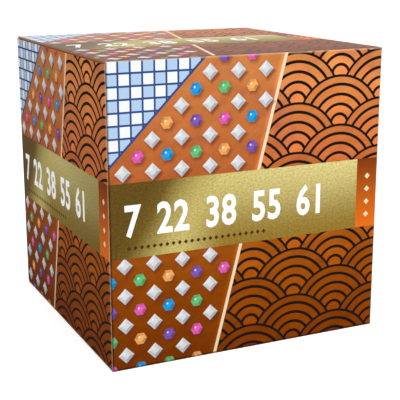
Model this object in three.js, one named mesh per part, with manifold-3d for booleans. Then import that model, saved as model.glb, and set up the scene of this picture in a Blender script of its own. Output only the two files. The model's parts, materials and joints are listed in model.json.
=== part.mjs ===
// A boxed bingo game, in millimetres, +Z up, with the origin on the floor under the carton's middle.
// A printed folding carton holds a wire ball cage on its stand, with the balls, chips, cards and
// calling board. The front of the carton is its -Y side. The cage turns about an axis along X,
// with its crank on the +X side.
import * as THREE from "three";
import { mergeVertices } from "three/addons/utils/BufferGeometryUtils.js";
import { ConvexGeometry } from "three/addons/geometries/ConvexGeometry.js";
import Module from "manifold-3d";

const DEGREE = Math.PI / 180;
const FULL_TURN = 2 * Math.PI;
const QUARTER_TURN = Math.PI / 2;

// Shared sizes
const pieceGap = 0.3;
const cutOverrun = 6;
const weldDistance = 0.0001;

// Carton
const cartonWidth = 210;
const cartonDepth = 210;
const cartonHeight = 210;
const cartonBoard = 1.5;
const lidSideInset = 0.5;
const tuckLength = 30;
const tuckSideInset = 2.5;
const tuckCornerRadius = 10;
const tuckLean = 8 * DEGREE;
const dustFlapLength = 60;
const dustFrontSetback = 8;
const dustRearSetback = 3;
const dustRearTaper = 33 * DEGREE;
const dustFrontTaper = 4 * DEGREE;
const dustCornerRadius = 5;
const glueFlapWidth = 15;
const glueFlapEndSetback = 8;
const glueFlapBevel = 6;

// Inserts
const padThickness = 1.2;
const padSideInset = 2;
const padFrontInset = 8;
const padRearInset = 1.5;
const dividerSetback = 33.5;
const dividerThickness = 1.2;
const dividerHeight = 150;
const dividerFoot = 16;
const dividerSideInset = 3;
const dividerNotchRadius = 20;

// Room round the cage in the carton
const cageFrontClearance = 17.5;
const cageRearClearance = 10.8;
const cageFloorClearance = 31;
const cageLidClearance = 28.7;
const hubSideClearance = 1;
const crankSideClearance = 1.9;

// Cage
const ringWire = 2;
const rimWire = 2.2;
const meridianWire = 2;
const weldDepth = 0.7;
const rimSpacing = 3;
const ringsPerHalf = 7;
const meridianCount = 6;
const poleLatitude = 75 * DEGREE;
const meridianEndLatitude = 82 * DEGREE;
const clipWall = 0.8;
const clipLength = 6;
const clipCount = 3;

// Cage door
const doorAzimuth = 35 * DEGREE;
const doorOpening = 22;
const doorRing = 2;
const doorBarWire = 2.2;
const doorPlateThickness = 1;
const doorPlateOverlap = 1.5;
const doorPinWire = 1.6;
const doorPinOffset = 3.6;
const doorBarrelWall = 0.9;
const doorBarrelLength = 9;
const doorLugWidth = 2;
const doorKnobRadius = 3;
const doorKnobHeight = 5;
const doorKnobTopShare = 0.8;

// Hubs, axles and crank
const hubPlateRadius = 16;
const hubPlateThickness = 2;
const hubSleeveRadius = 5.5;
const hubSleeveLength = 5;
const axleWire = 5;
const axleReach = 4;
const axleHeadRadius = 5;
const axleHeadLength = 3;
const crankThrow = 45;
const crankBend = 5;
const crankClearance = 3;
const knobRadius = 6.5;
const knobLength = 11;
const knobWaistRadius = 4.6;
const knobCapRadius = 4.4;
const knobCapLength = 1.8;

// Stand
const standInset = 14;
const sideRodOverhang = 5;
const standWire = 4;
const bearingWall = 2.6;
const bearingLength = 6;
const footRadius = 5.5;
const footBelowRod = 4.5;
const footGrip = 0.8;

// Ball track
const trackEndClearance = 9;
const trackSlope = 2.5 * DEGREE;
const trackHeight = 9.5;
const trackWire = 2;
const trackRailSpacing = 6.8;
const trackSideSpacing = 15;
const trackSideHeight = 7;
const trackHoopRise = 8.5;
const trackHoopCount = 4;
const trackPostSpacing = 80;
const trackPostLength = 3;
const trackPostDepth = 12;
const trackHoopBend = 3;

// Balls
const ballRadius = 6;
const ballCount = 75;
const ballRowSpacing = 12.3;
const ballSeatSpacing = 11.7;
const ballWallClearance = 0.5;

// Cards, calling board and leaflet
const cardWidth = 150;
const cardLidClearance = 25.4;
const cardThickness = 1.2;
const cardCount = 18;
const cardCornerRadius = 6;
const cardStagger = 0.5;
const bandWidth = 26;
const bandThickness = 0.4;
const bandHeightShare = 0.62;
const boardSideClearance = 9.5;
const boardMargin = 4;
const boardHeight = 150;
const boardThickness = 6;
const boardCornerRadius = 8;
const boardColumns = 15;
const boardRows = 5;
const boardRowPitch = 24;
const dimpleRadius = 4.6;
const dimpleDepth = 2;
const dimpleSides = 6;
const leafletWidth = 140;
const leafletLidClearance = 33.4;
const leafletThickness = 0.8;

// Chips and their rack
const chipRadius = 8;
const chipThickness = 1.6;
const chipsPerStack = 30;
const chipStackCount = 5;
const chipEdge = 0.4;
const rackWall = 1.6;
const rackFloor = 2;
const rackHeight = 14;
const rackForward = 20;
const rackSideGap = 1;

// Facet counts
const wireSides = 4;
const rodSides = 8;
const ringSegmentsLeast = 2;
const doorRingSegmentsLeast = 3;
const ringFacetLength = 25;
const meridianSteps = 8;
const hoopSteps = 10;
const crankSteps = 28;
const roundSegments = 16;
const cutSegments = 12;
const cornerSegments = 3;
const cardCornerSegments = 1;

const wasm = await Module();
wasm.setup();

// A closed three.js geometry as a solid that can be cut and joined
function toSolid(geometry) {
  const loose = geometry.index ? geometry.toNonIndexed() : geometry.clone();
  const bare = new THREE.BufferGeometry();
  bare.setAttribute("position", loose.getAttribute("position"));
  const merged = mergeVertices(bare, weldDistance);
  return new wasm.Manifold(
    new wasm.Mesh({
      numProp: 3,
      vertProperties: merged.attributes.position.array,
      triVerts: new Uint32Array(merged.index.array),
    }),
  );
}

// A solid back as a geometry with flat facets
function toGeometry(solid) {
  const mesh = solid.getMesh();
  const places = new Float32Array(mesh.numVert * 3);
  for (let i = 0; i < mesh.numVert; i++) {
    places.set(mesh.vertProperties.subarray(i * mesh.numProp, i * mesh.numProp + 3), i * 3);
  }
  const geometry = new THREE.BufferGeometry();
  geometry.setAttribute("position", new THREE.BufferAttribute(places, 3));
  geometry.setIndex(new THREE.BufferAttribute(new Uint32Array(mesh.triVerts), 1));
  const flat = geometry.toNonIndexed();
  flat.computeVertexNormals();
  return flat;
}

function join(geometries) {
  return geometries.map(toSolid).reduce((whole, next) => whole.add(next));
}

function cut(solid, geometries) {
  return geometries.map(toSolid).reduce((whole, next) => whole.subtract(next), solid);
}

// A straight rod between two points
function rod(from, to, radius, sides = rodSides) {
  const along = new THREE.Vector3().subVectors(to, from);
  const geometry = new THREE.CylinderGeometry(radius, radius, along.length(), sides);
  const turn = new THREE.Quaternion().setFromUnitVectors(
    new THREE.Vector3(0, 1, 0),
    along.clone().normalize(),
  );
  const middle = new THREE.Vector3().addVectors(from, to).multiplyScalar(0.5);
  return geometry.applyQuaternion(turn).translate(middle.x, middle.y, middle.z);
}

// A bent rod along a curve
function bentRod(curve, radius, sides, steps) {
  const corners = [];
  for (let i = 0; i < sides; i++) {
    const angle = (FULL_TURN * i) / sides;
    corners.push(new THREE.Vector2(radius * Math.cos(angle), radius * Math.sin(angle)));
  }
  const section = new THREE.Shape(corners);
  return new THREE.ExtrudeGeometry(section, { steps, extrudePath: curve, bevelEnabled: false });
}

// Straight stretches through the points, with each corner rounded off
function roundedPath(points, bend) {
  const path = new THREE.CurvePath();
  let from = points[0];
  for (let i = 1; i < points.length - 1; i++) {
    const back = new THREE.Vector3().subVectors(points[i - 1], points[i]).setLength(bend);
    const ahead = new THREE.Vector3().subVectors(points[i + 1], points[i]).setLength(bend);
    const enter = points[i].clone().add(back);
    const leave = points[i].clone().add(ahead);
    path.add(new THREE.LineCurve3(from, enter));
    path.add(new THREE.QuadraticBezierCurve3(enter, points[i], leave));
    from = leave;
  }
  path.add(new THREE.LineCurve3(from, points[points.length - 1]));
  return path;
}

// A flat plate with the given outline, lying on z = 0 and as thick as asked
function plate(shape, thickness, holes = [], curveSegments = cornerSegments) {
  shape.holes = holes;
  return new THREE.ExtrudeGeometry(shape, {
    depth: thickness,
    bevelEnabled: false,
    curveSegments,
  });
}

// A polygon whose corners are rounded, each by its own radius
function roundedOutline(corners) {
  const shape = new THREE.Shape();
  const count = corners.length;
  corners.forEach(([x, y, radius], i) => {
    const here = new THREE.Vector2(x, y);
    const before = corners[(i + count - 1) % count];
    const after = corners[(i + 1) % count];
    const back = new THREE.Vector2(before[0] - x, before[1] - y).setLength(radius);
    const ahead = new THREE.Vector2(after[0] - x, after[1] - y).setLength(radius);
    const enter = here.clone().add(back);
    const leave = here.clone().add(ahead);
    if (i === 0) {
      shape.moveTo(enter.x, enter.y);
    } else {
      shape.lineTo(enter.x, enter.y);
    }
    if (radius > 0) {
      shape.quadraticCurveTo(here.x, here.y, leave.x, leave.y);
    }
  });
  shape.closePath();
  return shape;
}

function rectangle(left, bottom, right, top, radius = 0) {
  return roundedOutline([
    [left, bottom, radius],
    [right, bottom, radius],
    [right, top, radius],
    [left, top, radius],
  ]);
}

function box(low, high) {
  const size = new THREE.Vector3().subVectors(high, low);
  const middle = new THREE.Vector3().addVectors(low, high).multiplyScalar(0.5);
  return new THREE.BoxGeometry(size.x, size.y, size.z).translate(middle.x, middle.y, middle.z);
}

// A turned piece about the X axis. The profile is pairs of [x, radius] and closes on itself
function turnedAboutX(profile, segments = roundSegments) {
  const points = profile.map(([x, radius]) => new THREE.Vector2(radius, x));
  points.push(points[0].clone());
  return new THREE.LatheGeometry(points, segments).rotateZ(-QUARTER_TURN);
}

function vector(x, y, z) {
  return new THREE.Vector3(x, y, z);
}

// Materials
function paint(color, roughness, metalness = 0) {
  return new THREE.MeshStandardMaterial({ color, roughness, metalness });
}
const printedBoard = paint(0xc06a2a, 0.45);
const plainBoard = paint(0xd9d2c4, 0.9);
const kraftBoard = paint(0xb08d62, 0.9);
const blackPaint = paint(0x17181a, 0.35, 0.6);
const brightSteel = paint(0xb8babd, 0.25, 1);
const blackPlastic = paint(0x1c1c1e, 0.5);
const blackRubber = paint(0x101010, 0.9);
const ballPlastic = paint(0xdfe3e3, 0.3);
const cardFace = paint(0xf1f1ec, 0.6);
const boardPlastic = paint(0x26272b, 0.5);
const paperWhite = paint(0xf4f2ea, 0.85);
const chipColours = [0xd8409a, 0x1d95d8, 0x38a860, 0xe6a03c, 0x7048b0];
const chipNames = ["pink", "blue", "green", "orange", "violet"];

const game = new THREE.Group();

function place(name, shape, material, parent = game) {
  const geometry = shape.isBufferGeometry ? shape : toGeometry(shape);
  const mesh = new THREE.Mesh(geometry, material);
  mesh.name = name;
  parent.add(mesh);
  return mesh;
}

// Levels and faces that several pieces share
const innerHalfWidth = cartonWidth / 2 - cartonBoard;
const innerHalfDepth = cartonDepth / 2 - cartonBoard;
const wallBottom = cartonBoard + pieceGap;
const wallTop = cartonHeight - cartonBoard - pieceGap;
const lidUnderside = cartonHeight - cartonBoard;
const lidFront = -(innerHalfDepth - pieceGap);
const lidRear = cartonDepth / 2 - pieceGap;
const dustFloor = wallBottom + cartonBoard;
const floorLevel = dustFloor + pieceGap + padThickness;
const standingZ = floorLevel + pieceGap;
const dividerRear = innerHalfDepth - dividerSetback;

// The cage is as large as the room between the front wall, the divider, the floor and the lid
const cageFront = -(innerHalfDepth - cageFrontClearance);
const cageRear = dividerRear - dividerThickness - cageRearClearance;
const cageFloor = floorLevel + cageFloorClearance;
const cageTop = lidUnderside - cageLidClearance;
const cageRadius = Math.min(cageRear - cageFront, cageTop - cageFloor) / 2;
const hubY = (cageFront + cageRear) / 2;
const hubZ = cageFloor + cageRadius;

// The stand is as wide as the crank beside it allows, and the cage fills what the hubs leave
const crankReach =
  bearingLength / 2 + crankClearance + axleWire + crankBend / 2 + knobLength + knobCapLength + pieceGap;
const standHalfWidth = innerHalfWidth - crankSideClearance - crankReach;
const standHalfDepth = cageRadius - standInset;
const hubReach = hubSideClearance + hubSleeveLength + hubPlateThickness + meridianWire;
const cageHalfLength = standHalfWidth - bearingLength / 2 - hubReach;

// One wall of the carton, mitred at both ends, along X at the front and turned to its side
function wall(length, distance, bottom, top) {
  const outer = length / 2 - pieceGap / 2;
  const inner = outer - cartonBoard;
  const outline = new THREE.Shape([
    new THREE.Vector2(-outer, -distance),
    new THREE.Vector2(outer, -distance),
    new THREE.Vector2(inner, -distance + cartonBoard),
    new THREE.Vector2(-inner, -distance + cartonBoard),
  ]);
  return plate(outline, top - bottom).translate(0, 0, bottom);
}

// The outline of a dust flap on the +X side, whose rear edge is cut back to let the lid swing over it
function dustOutline() {
  const root = innerHalfWidth - pieceGap;
  const tip = root - dustFlapLength;
  const front = -(innerHalfDepth - dustFrontSetback);
  const rear = innerHalfDepth - dustRearSetback;
  const frontCut = dustFlapLength * Math.tan(dustFrontTaper);
  const rearCut = dustFlapLength * Math.tan(dustRearTaper);
  return roundedOutline([
    [root, front, 0],
    [root, rear, 0],
    [tip, rear - rearCut, dustCornerRadius],
    [tip, front + frontCut, dustCornerRadius],
  ]);
}

// A tuck flap hanging from its crease on the X axis, with its outer face on y = 0
function tuckFlap() {
  const half = innerHalfWidth - tuckSideInset;
  const outline = roundedOutline([
    [-half, -tuckLength, tuckCornerRadius],
    [half, -tuckLength, tuckCornerRadius],
    [half, 0, 0],
    [-half, 0, 0],
  ]);
  return plate(outline, cartonBoard)
    .rotateX(QUARTER_TURN)
    .translate(0, cartonBoard, 0);
}

function buildCarton() {
  place("front_panel", wall(cartonWidth, cartonDepth / 2, 0, cartonHeight), printedBoard);
  const back = place("back_panel", wall(cartonWidth, cartonDepth / 2, wallBottom, wallTop), printedBoard);
  back.rotation.z = Math.PI;
  const right = place("right_panel", wall(cartonDepth, cartonWidth / 2, wallBottom, wallTop), printedBoard);
  right.rotation.z = QUARTER_TURN;
  const left = place("left_panel", wall(cartonDepth, cartonWidth / 2, wallBottom, wallTop), printedBoard);
  left.rotation.z = -QUARTER_TURN;

  const glueLow = dustFloor + pieceGap + glueFlapEndSetback;
  const glueHigh = wallTop - cartonBoard - pieceGap - glueFlapEndSetback;
  const glueRear = innerHalfDepth - pieceGap;
  const glueOutline = roundedOutline([
    [glueRear - glueFlapWidth, glueLow + glueFlapBevel, 0],
    [glueRear, glueLow, 0],
    [glueRear, glueHigh, 0],
    [glueRear - glueFlapWidth, glueHigh - glueFlapBevel, 0],
  ]);
  const glue = plate(glueOutline, cartonBoard)
    .rotateX(QUARTER_TURN)
    .rotateZ(QUARTER_TURN)
    .translate(-(innerHalfWidth - pieceGap), 0, 0);
  place("glue_flap", glue, plainBoard);

  const lidOutline = rectangle(
    -(cartonWidth / 2 - lidSideInset),
    lidFront,
    cartonWidth / 2 - lidSideInset,
    lidRear,
  );
  place("lid_panel", plate(lidOutline, cartonBoard), printedBoard).position.z = lidUnderside;
  place("bottom_panel", plate(lidOutline.clone(), cartonBoard), printedBoard);

  const lidTuck = place("lid_tuck_flap", tuckFlap(), printedBoard);
  lidTuck.position.set(0, lidFront, lidUnderside - pieceGap);
  lidTuck.rotation.x = tuckLean;
  const bottomTuck = place("bottom_tuck_flap", tuckFlap().rotateX(Math.PI).rotateZ(Math.PI), printedBoard);
  bottomTuck.position.set(0, lidFront, wallBottom);
  bottomTuck.rotation.x = -tuckLean;

  for (const [name, side] of [["right", 1], ["left", -1]]) {
    const flap = toSolid(plate(dustOutline(), cartonBoard));
    const sided = side > 0 ? flap : flap.mirror([1, 0, 0]);
    place("dust_flap_" + name, sided, printedBoard).position.z = wallTop - cartonBoard;
    place("bottom_dust_flap_" + name, sided, printedBoard).position.z = wallBottom;
  }
}

// The loose board pieces that keep the cage and the cards in place
function buildInserts() {
  const padHalf = innerHalfWidth - padSideInset;
  const padOutline = rectangle(
    -padHalf,
    -(innerHalfDepth - padFrontInset),
    padHalf,
    innerHalfDepth - padRearInset,
    dustCornerRadius,
  );
  place("floor_pad", plate(padOutline, padThickness), kraftBoard).position.z = dustFloor + pieceGap;

  const half = innerHalfWidth - dividerSideInset;
  const outline = new THREE.Shape();
  outline.moveTo(-half, 0);
  outline.lineTo(half, 0);
  outline.lineTo(half, dividerHeight);
  outline.lineTo(dividerNotchRadius, dividerHeight);
  outline.absarc(0, dividerHeight, dividerNotchRadius, 0, -Math.PI, true);
  outline.lineTo(-half, dividerHeight);
  outline.closePath();
  const upright = plate(outline, dividerThickness).rotateX(QUARTER_TURN);
  const foot = box(
    vector(-half, -dividerFoot, 0),
    vector(half, -dividerThickness / 2, dividerThickness),
  );
  const divider = place("card_divider", join([upright, foot]), kraftBoard);
  divider.position.set(0, dividerRear, standingZ);
}

// A point of the cage's round surface, moved out along its normal
function cagePoint(side, latitude, azimuth, offset) {
  const normal = new THREE.Vector2(
    Math.sin(latitude) / cageHalfLength,
    Math.cos(latitude) / cageRadius,
  ).normalize();
  const along = cageHalfLength * Math.sin(latitude) + normal.x * offset;
  const out = cageRadius * Math.cos(latitude) + normal.y * offset;
  return vector(side * along, -out * Math.cos(azimuth), out * Math.sin(azimuth));
}

class Meridian extends THREE.Curve {
  constructor(side, azimuth, offset, from, to) {
    super();
    Object.assign(this, { side, azimuth, offset, from, to });
  }

  getPoint(t, target = new THREE.Vector3()) {
    const latitude = this.from + (this.to - this.from) * t;
    return target.copy(cagePoint(this.side, latitude, this.azimuth, this.offset));
  }
}

const rimLatitude = Math.asin(rimSpacing / 2 / cageHalfLength);
const meridianOffset = (ringWire + meridianWire) / 2 - weldDepth;

function ringLatitude(index) {
  return rimLatitude + ((poleLatitude - rimLatitude) * index) / ringsPerHalf;
}

// Facets in a ring, a whole number between its meridians. The door's bars sit on the finer ones
function ringSegments(latitude) {
  const arc = (FULL_TURN * cageRadius * Math.cos(latitude)) / meridianCount;
  const least = latitude > ringLatitude(doorRing) ? ringSegmentsLeast : doorRingSegmentsLeast;
  return meridianCount * Math.max(least, Math.round(arc / ringFacetLength));
}

// A ring whose corners lie under the meridians
function ring(side, latitude, wire) {
  const radius = cageRadius * Math.cos(latitude);
  return new THREE.TorusGeometry(radius, wire / 2, wireSides, ringSegments(latitude))
    .rotateY(QUARTER_TURN)
    .rotateX(QUARTER_TURN - doorAzimuth + FULL_TURN / meridianCount / 2)
    .translate(side * cageHalfLength * Math.sin(latitude), 0, 0);
}

// The door's own frame: X runs from the rim towards the pole, Y round the cage and Z outwards
const doorInner = cagePoint(1, rimLatitude, doorAzimuth, 0);
const doorOuter = cagePoint(1, ringLatitude(doorRing), doorAzimuth, 0);
const doorLength = doorInner.distanceTo(doorOuter);
const doorAlong = new THREE.Vector3().subVectors(doorOuter, doorInner).normalize();
const doorAcross = vector(0, Math.sin(doorAzimuth), Math.cos(doorAzimuth));
const doorOut = new THREE.Vector3().crossVectors(doorAlong, doorAcross);
const doorEdgeDrop = cageRadius - Math.sqrt(cageRadius ** 2 - (doorOpening / 2) ** 2);
const doorMiddle = new THREE.Vector3()
  .addVectors(doorInner, doorOuter)
  .multiplyScalar(0.5)
  .addScaledVector(doorOut, -doorEdgeDrop);
const doorFrame = new THREE.Matrix4()
  .makeBasis(doorAlong, doorAcross, doorOut)
  .setPosition(doorMiddle);
const doorBarLift = (ringWire + doorBarWire) / 2 - weldDepth;
const doorPlateFloor = doorBarLift + doorBarWire / 2 + pieceGap;
const doorPinRadius = doorPinWire / 2;
const doorBoreRadius = doorPinRadius + pieceGap;
const doorBarrelRadius = doorBoreRadius + doorBarrelWall;
const doorPinAcross = doorOpening / 2 + doorPinOffset;
const doorPinLift = doorPlateFloor + doorPlateThickness / 2;

function doorFrameParts() {
  const parts = [];
  for (const edge of [-1, 1]) {
    const across = (edge * doorOpening) / 2;
    parts.push(
      rod(
        vector(-doorLength / 2, across, doorBarLift),
        vector(doorLength / 2, across, doorBarLift),
        doorBarWire / 2,
        wireSides,
      ),
    );
  }
  for (const end of [-1, 1]) {
    const near = doorBarrelLength / 2 + pieceGap;
    const low = end > 0 ? near : -near - doorLugWidth;
    const lug = join([
      rod(
        vector(low, doorPinAcross, doorPinLift),
        vector(low + doorLugWidth, doorPinAcross, doorPinLift),
        doorBarrelRadius,
      ),
      box(
        vector(low, doorOpening / 2, doorBarLift - doorBarWire / 4),
        vector(low + doorLugWidth, doorPinAcross + doorPinRadius, doorPinLift - doorBoreRadius),
      ),
    ]);
    const bore = rod(
      vector(low - cutOverrun, doorPinAcross, doorPinLift),
      vector(low + doorLugWidth + cutOverrun, doorPinAcross, doorPinLift),
      doorBoreRadius,
    );
    parts.push(toGeometry(cut(lug, [bore])));
  }
  return parts.map((part) => part.applyMatrix4(doorFrame));
}

function halfCage(side) {
  const wires = [ring(side, rimLatitude, rimWire)];
  for (let index = 1; index <= ringsPerHalf; index++) {
    wires.push(ring(side, ringLatitude(index), ringWire));
  }
  for (let index = 0; index < meridianCount; index++) {
    const azimuth = doorAzimuth + (FULL_TURN * (index + 0.5)) / meridianCount;
    const line = new Meridian(side, azimuth, meridianOffset, rimLatitude, meridianEndLatitude);
    wires.push(bentRod(line, meridianWire / 2, wireSides, meridianSteps));
  }
  const basket = join(wires);
  if (side < 0) {
    return basket;
  }
  const opening = box(
    vector(-doorLength / 2 + rimWire / 2, -doorOpening / 2, -cutOverrun),
    vector(doorLength / 2 - ringWire / 2, doorOpening / 2, cutOverrun),
  ).applyMatrix4(doorFrame);
  return cut(basket, [opening]).add(join(doorFrameParts()));
}

const rimRadius = cageRadius * Math.cos(rimLatitude);
const rimFacetAngle = FULL_TURN / ringSegments(rimLatitude);

// A sprung clip that holds the two rims together, in the middle of one of their straight facets
function rimClip() {
  const halfWidth = rimSpacing / 2 + rimWire / 2 + pieceGap;
  const inner = -(rimWire / 2 + pieceGap);
  const outer = rimWire / 2 + pieceGap;
  const lip = halfWidth - clipWall;
  const outline = new THREE.Shape([
    new THREE.Vector2(-halfWidth - clipWall, inner - clipWall),
    new THREE.Vector2(-lip, inner - clipWall),
    new THREE.Vector2(-lip, inner),
    new THREE.Vector2(-halfWidth, inner),
    new THREE.Vector2(-halfWidth, outer),
    new THREE.Vector2(halfWidth, outer),
    new THREE.Vector2(halfWidth, inner),
    new THREE.Vector2(lip, inner),
    new THREE.Vector2(lip, inner - clipWall),
    new THREE.Vector2(halfWidth + clipWall, inner - clipWall),
    new THREE.Vector2(halfWidth + clipWall, outer + clipWall),
    new THREE.Vector2(-halfWidth - clipWall, outer + clipWall),
  ]);
  const facetRadius = rimRadius * Math.cos(rimFacetAngle / 2);
  return plate(outline, clipLength).translate(0, facetRadius, -clipLength / 2);
}

const hubPlateX = cagePoint(1, meridianEndLatitude, 0, meridianOffset).x + meridianWire / 2 + pieceGap;
const hubSleeveEnd = hubPlateX + hubPlateThickness + hubSleeveLength;
const axleRadius = axleWire / 2;
const axleBore = axleRadius + pieceGap;
const bearingEnd = standHalfWidth + bearingLength / 2;
const crankX = bearingEnd + crankClearance + axleRadius;

function buildDrum() {
  const drum = new THREE.Group();
  drum.position.set(0, hubY, hubZ);
  game.add(drum);

  for (const [name, side] of [["right", 1], ["left", -1]]) {
    place("cage_" + name, halfCage(side), blackPaint, drum);
    const hub = turnedAboutX([
      [hubPlateX, axleBore],
      [hubPlateX, hubPlateRadius],
      [hubPlateX + hubPlateThickness, hubPlateRadius],
      [hubPlateX + hubPlateThickness, hubSleeveRadius],
      [hubSleeveEnd, hubSleeveRadius],
      [hubSleeveEnd, axleBore],
    ]);
    const hubMesh = place("hub_" + name, hub, blackPaint, drum);
    hubMesh.rotation.z = side > 0 ? 0 : Math.PI;
  }

  for (let index = 0; index < clipCount; index++) {
    const clip = place("rim_clip_" + (index + 1), rimClip(), brightSteel, drum);
    const step = Math.round((meridianCount * (index + 0.5)) / clipCount);
    const azimuth = doorAzimuth + (FULL_TURN * (step - 0.5)) / meridianCount + rimFacetAngle / 2;
    clip.rotation.x = Math.PI - azimuth;
  }

  const axleIn = hubPlateX - axleReach;
  const axleOut = bearingEnd + crankClearance;
  const axle = turnedAboutX([
    [axleIn, 0],
    [axleIn, axleRadius],
    [axleOut, axleRadius],
    [axleOut, axleHeadRadius],
    [axleOut + axleHeadLength, axleHeadRadius],
    [axleOut + axleHeadLength, 0],
  ]);
  place("left_axle_pin", axle, blackPaint, drum).rotation.z = Math.PI;

  const knobStart = crankX + axleRadius + crankBend / 2;
  const knobEnd = knobStart + knobLength;
  const crankEnd = knobEnd + knobCapLength;
  const crankPath = roundedPath(
    [
      vector(axleIn, 0, 0),
      vector(crankX, 0, 0),
      vector(crankX, 0, -crankThrow),
      vector(crankEnd, 0, -crankThrow),
    ],
    crankBend,
  );
  place("crank_rod", bentRod(crankPath, axleRadius, rodSides, crankSteps), blackPaint, drum);

  const knob = turnedAboutX([
    [knobStart, axleBore],
    [knobStart, knobWaistRadius],
    [knobStart + knobLength / 4, knobWaistRadius],
    [knobStart + knobLength / 2, knobRadius],
    [knobStart + (knobLength * 3) / 4, knobRadius],
    [knobEnd, knobWaistRadius],
    [knobEnd, axleBore],
  ]);
  place("crank_knob", knob, blackPlastic, drum).position.z = -crankThrow;
  const cap = turnedAboutX([
    [knobEnd + pieceGap, axleBore],
    [knobEnd + pieceGap, knobCapRadius],
    [knobEnd + pieceGap + knobCapLength, knobCapRadius],
    [knobEnd + pieceGap + knobCapLength, axleBore],
  ]);
  place("knob_cap", cap, brightSteel, drum).position.z = -crankThrow;

  buildDoor(drum);
}

function buildDoor(drum) {
  const door = new THREE.Group();
  door.applyMatrix4(doorFrame);
  drum.add(door);

  const halfOpening = doorOpening / 2;
  const plateHalf = doorLength / 2;
  const free = -(halfOpening + doorBarWire / 2 + doorPlateOverlap);
  const hinge = doorPinAcross - doorBarrelRadius - pieceGap;
  const flap = plate(rectangle(-plateHalf, free, plateHalf, hinge, doorPlateOverlap), doorPlateThickness)
    .translate(0, 0, doorPlateFloor);
  const tongue = box(
    vector(-doorBarrelLength / 2, hinge - doorPlateOverlap, doorPlateFloor),
    vector(doorBarrelLength / 2, doorPinAcross, doorPlateFloor + doorPlateThickness),
  );
  const barrel = rod(
    vector(-doorBarrelLength / 2, doorPinAcross, doorPinLift),
    vector(doorBarrelLength / 2, doorPinAcross, doorPinLift),
    doorBarrelRadius,
  );
  const bore = rod(
    vector(-doorBarrelLength, doorPinAcross, doorPinLift),
    vector(doorBarrelLength, doorPinAcross, doorPinLift),
    doorBoreRadius,
  );
  place("cage_door", cut(join([flap, tongue, barrel]), [bore]), brightSteel, door);

  const pinHalf = doorBarrelLength / 2 + pieceGap * 2 + doorLugWidth;
  const pin = rod(
    vector(-pinHalf, doorPinAcross, doorPinLift),
    vector(pinHalf, doorPinAcross, doorPinLift),
    doorPinRadius,
  );
  place("door_hinge_pin", pin, brightSteel, door);

  const knobFoot = doorPlateFloor + doorPlateThickness + pieceGap;
  const knob = turnedAboutX([
    [knobFoot, 0],
    [knobFoot, doorKnobRadius / 2],
    [knobFoot + doorKnobHeight / 2, doorKnobRadius / 2],
    [knobFoot + doorKnobHeight / 2, doorKnobRadius],
    [knobFoot + doorKnobHeight, doorKnobRadius * doorKnobTopShare],
    [knobFoot + doorKnobHeight, 0],
  ], rodSides).rotateY(-QUARTER_TURN);
  place("door_knob", knob, brightSteel, door).position.y = free / 2;
}

// Heights of the stand, measured from the floor of the carton
const standRadius = standWire / 2;
const rodZ = standingZ + footBelowRod + standRadius;

function buildStand() {
  const front = hubY - standHalfDepth;
  const rear = hubY + standHalfDepth;
  const sides = [["left", -1], ["right", 1]];
  const ends = [["front", front], ["rear", rear]];
  const bearingRadius = axleBore + bearingWall;
  for (const [sideName, side] of sides) {
    const x = side * standHalfWidth;
    const sideRod = rod(
      vector(x, front - sideRodOverhang, rodZ),
      vector(x, rear + sideRodOverhang, rodZ),
      standRadius,
    );
    place("base_" + sideName + "_rod", sideRod, blackPaint);

    const bearing = turnedAboutX([
      [standHalfWidth - bearingLength / 2, axleBore],
      [standHalfWidth - bearingLength / 2, bearingRadius],
      [standHalfWidth + bearingLength / 2, bearingRadius],
      [standHalfWidth + bearingLength / 2, axleBore],
    ]);
    const bearingMesh = place("bearing_" + sideName, bearing, blackPaint);
    bearingMesh.position.set(0, hubY, hubZ);
    bearingMesh.rotation.z = side > 0 ? 0 : Math.PI;

    for (const [endName, y] of ends) {
      const leg = toSolid(rod(vector(x, hubY, hubZ), vector(x, y, rodZ), standRadius));
      const cuts = [
        rod(
          vector(x - cutOverrun, hubY, hubZ),
          vector(x + cutOverrun, hubY, hubZ),
          bearingRadius + pieceGap,
          cutSegments,
        ),
        rod(
          vector(x, y - cutOverrun, rodZ),
          vector(x, y + cutOverrun, rodZ),
          standRadius + pieceGap,
          cutSegments,
        ),
      ];
      place("leg_" + endName + "_" + sideName, cut(leg, cuts), blackPaint);

      const foot = new THREE.CylinderGeometry(
        footRadius,
        footRadius,
        rodZ + footGrip - standingZ,
        cutSegments,
      )
        .rotateX(QUARTER_TURN)
        .translate(x, y, (rodZ + footGrip + standingZ) / 2);
      const channel = rod(
        vector(x, y - footRadius - cutOverrun, rodZ),
        vector(x, y + footRadius + cutOverrun, rodZ),
        standRadius + pieceGap,
        cutSegments,
      );
      const throat = box(
        vector(x - standRadius, y - footRadius - cutOverrun, rodZ),
        vector(x + standRadius, y + footRadius + cutOverrun, rodZ + cutOverrun),
      );
      const clear = standRadius + pieceGap;
      const inward = box(
        vector(side > 0 ? x - footRadius - cutOverrun : x, y - clear, rodZ - clear),
        vector(side > 0 ? x : x + footRadius + cutOverrun, y + clear, rodZ + cutOverrun),
      );
      const footCuts = [channel, throat, inward];
      place("foot_" + endName + "_" + sideName, cut(toSolid(foot), footCuts), blackRubber);
    }
  }
  for (const [endName, y] of ends) {
    const reach = standHalfWidth - standRadius - pieceGap;
    const crossRod = rod(vector(-reach, y, rodZ), vector(reach, y, rodZ), standRadius);
    place("base_" + endName + "_rod", crossRod, blackPaint);
  }
}

// The sloping wire track that the drawn balls roll along
const trackRadius = trackWire / 2;
const trackY = hubY - standHalfDepth;
const trackZ = rodZ + trackHeight;
const trackLength = 2 * (standHalfWidth - trackEndClearance);

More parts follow.
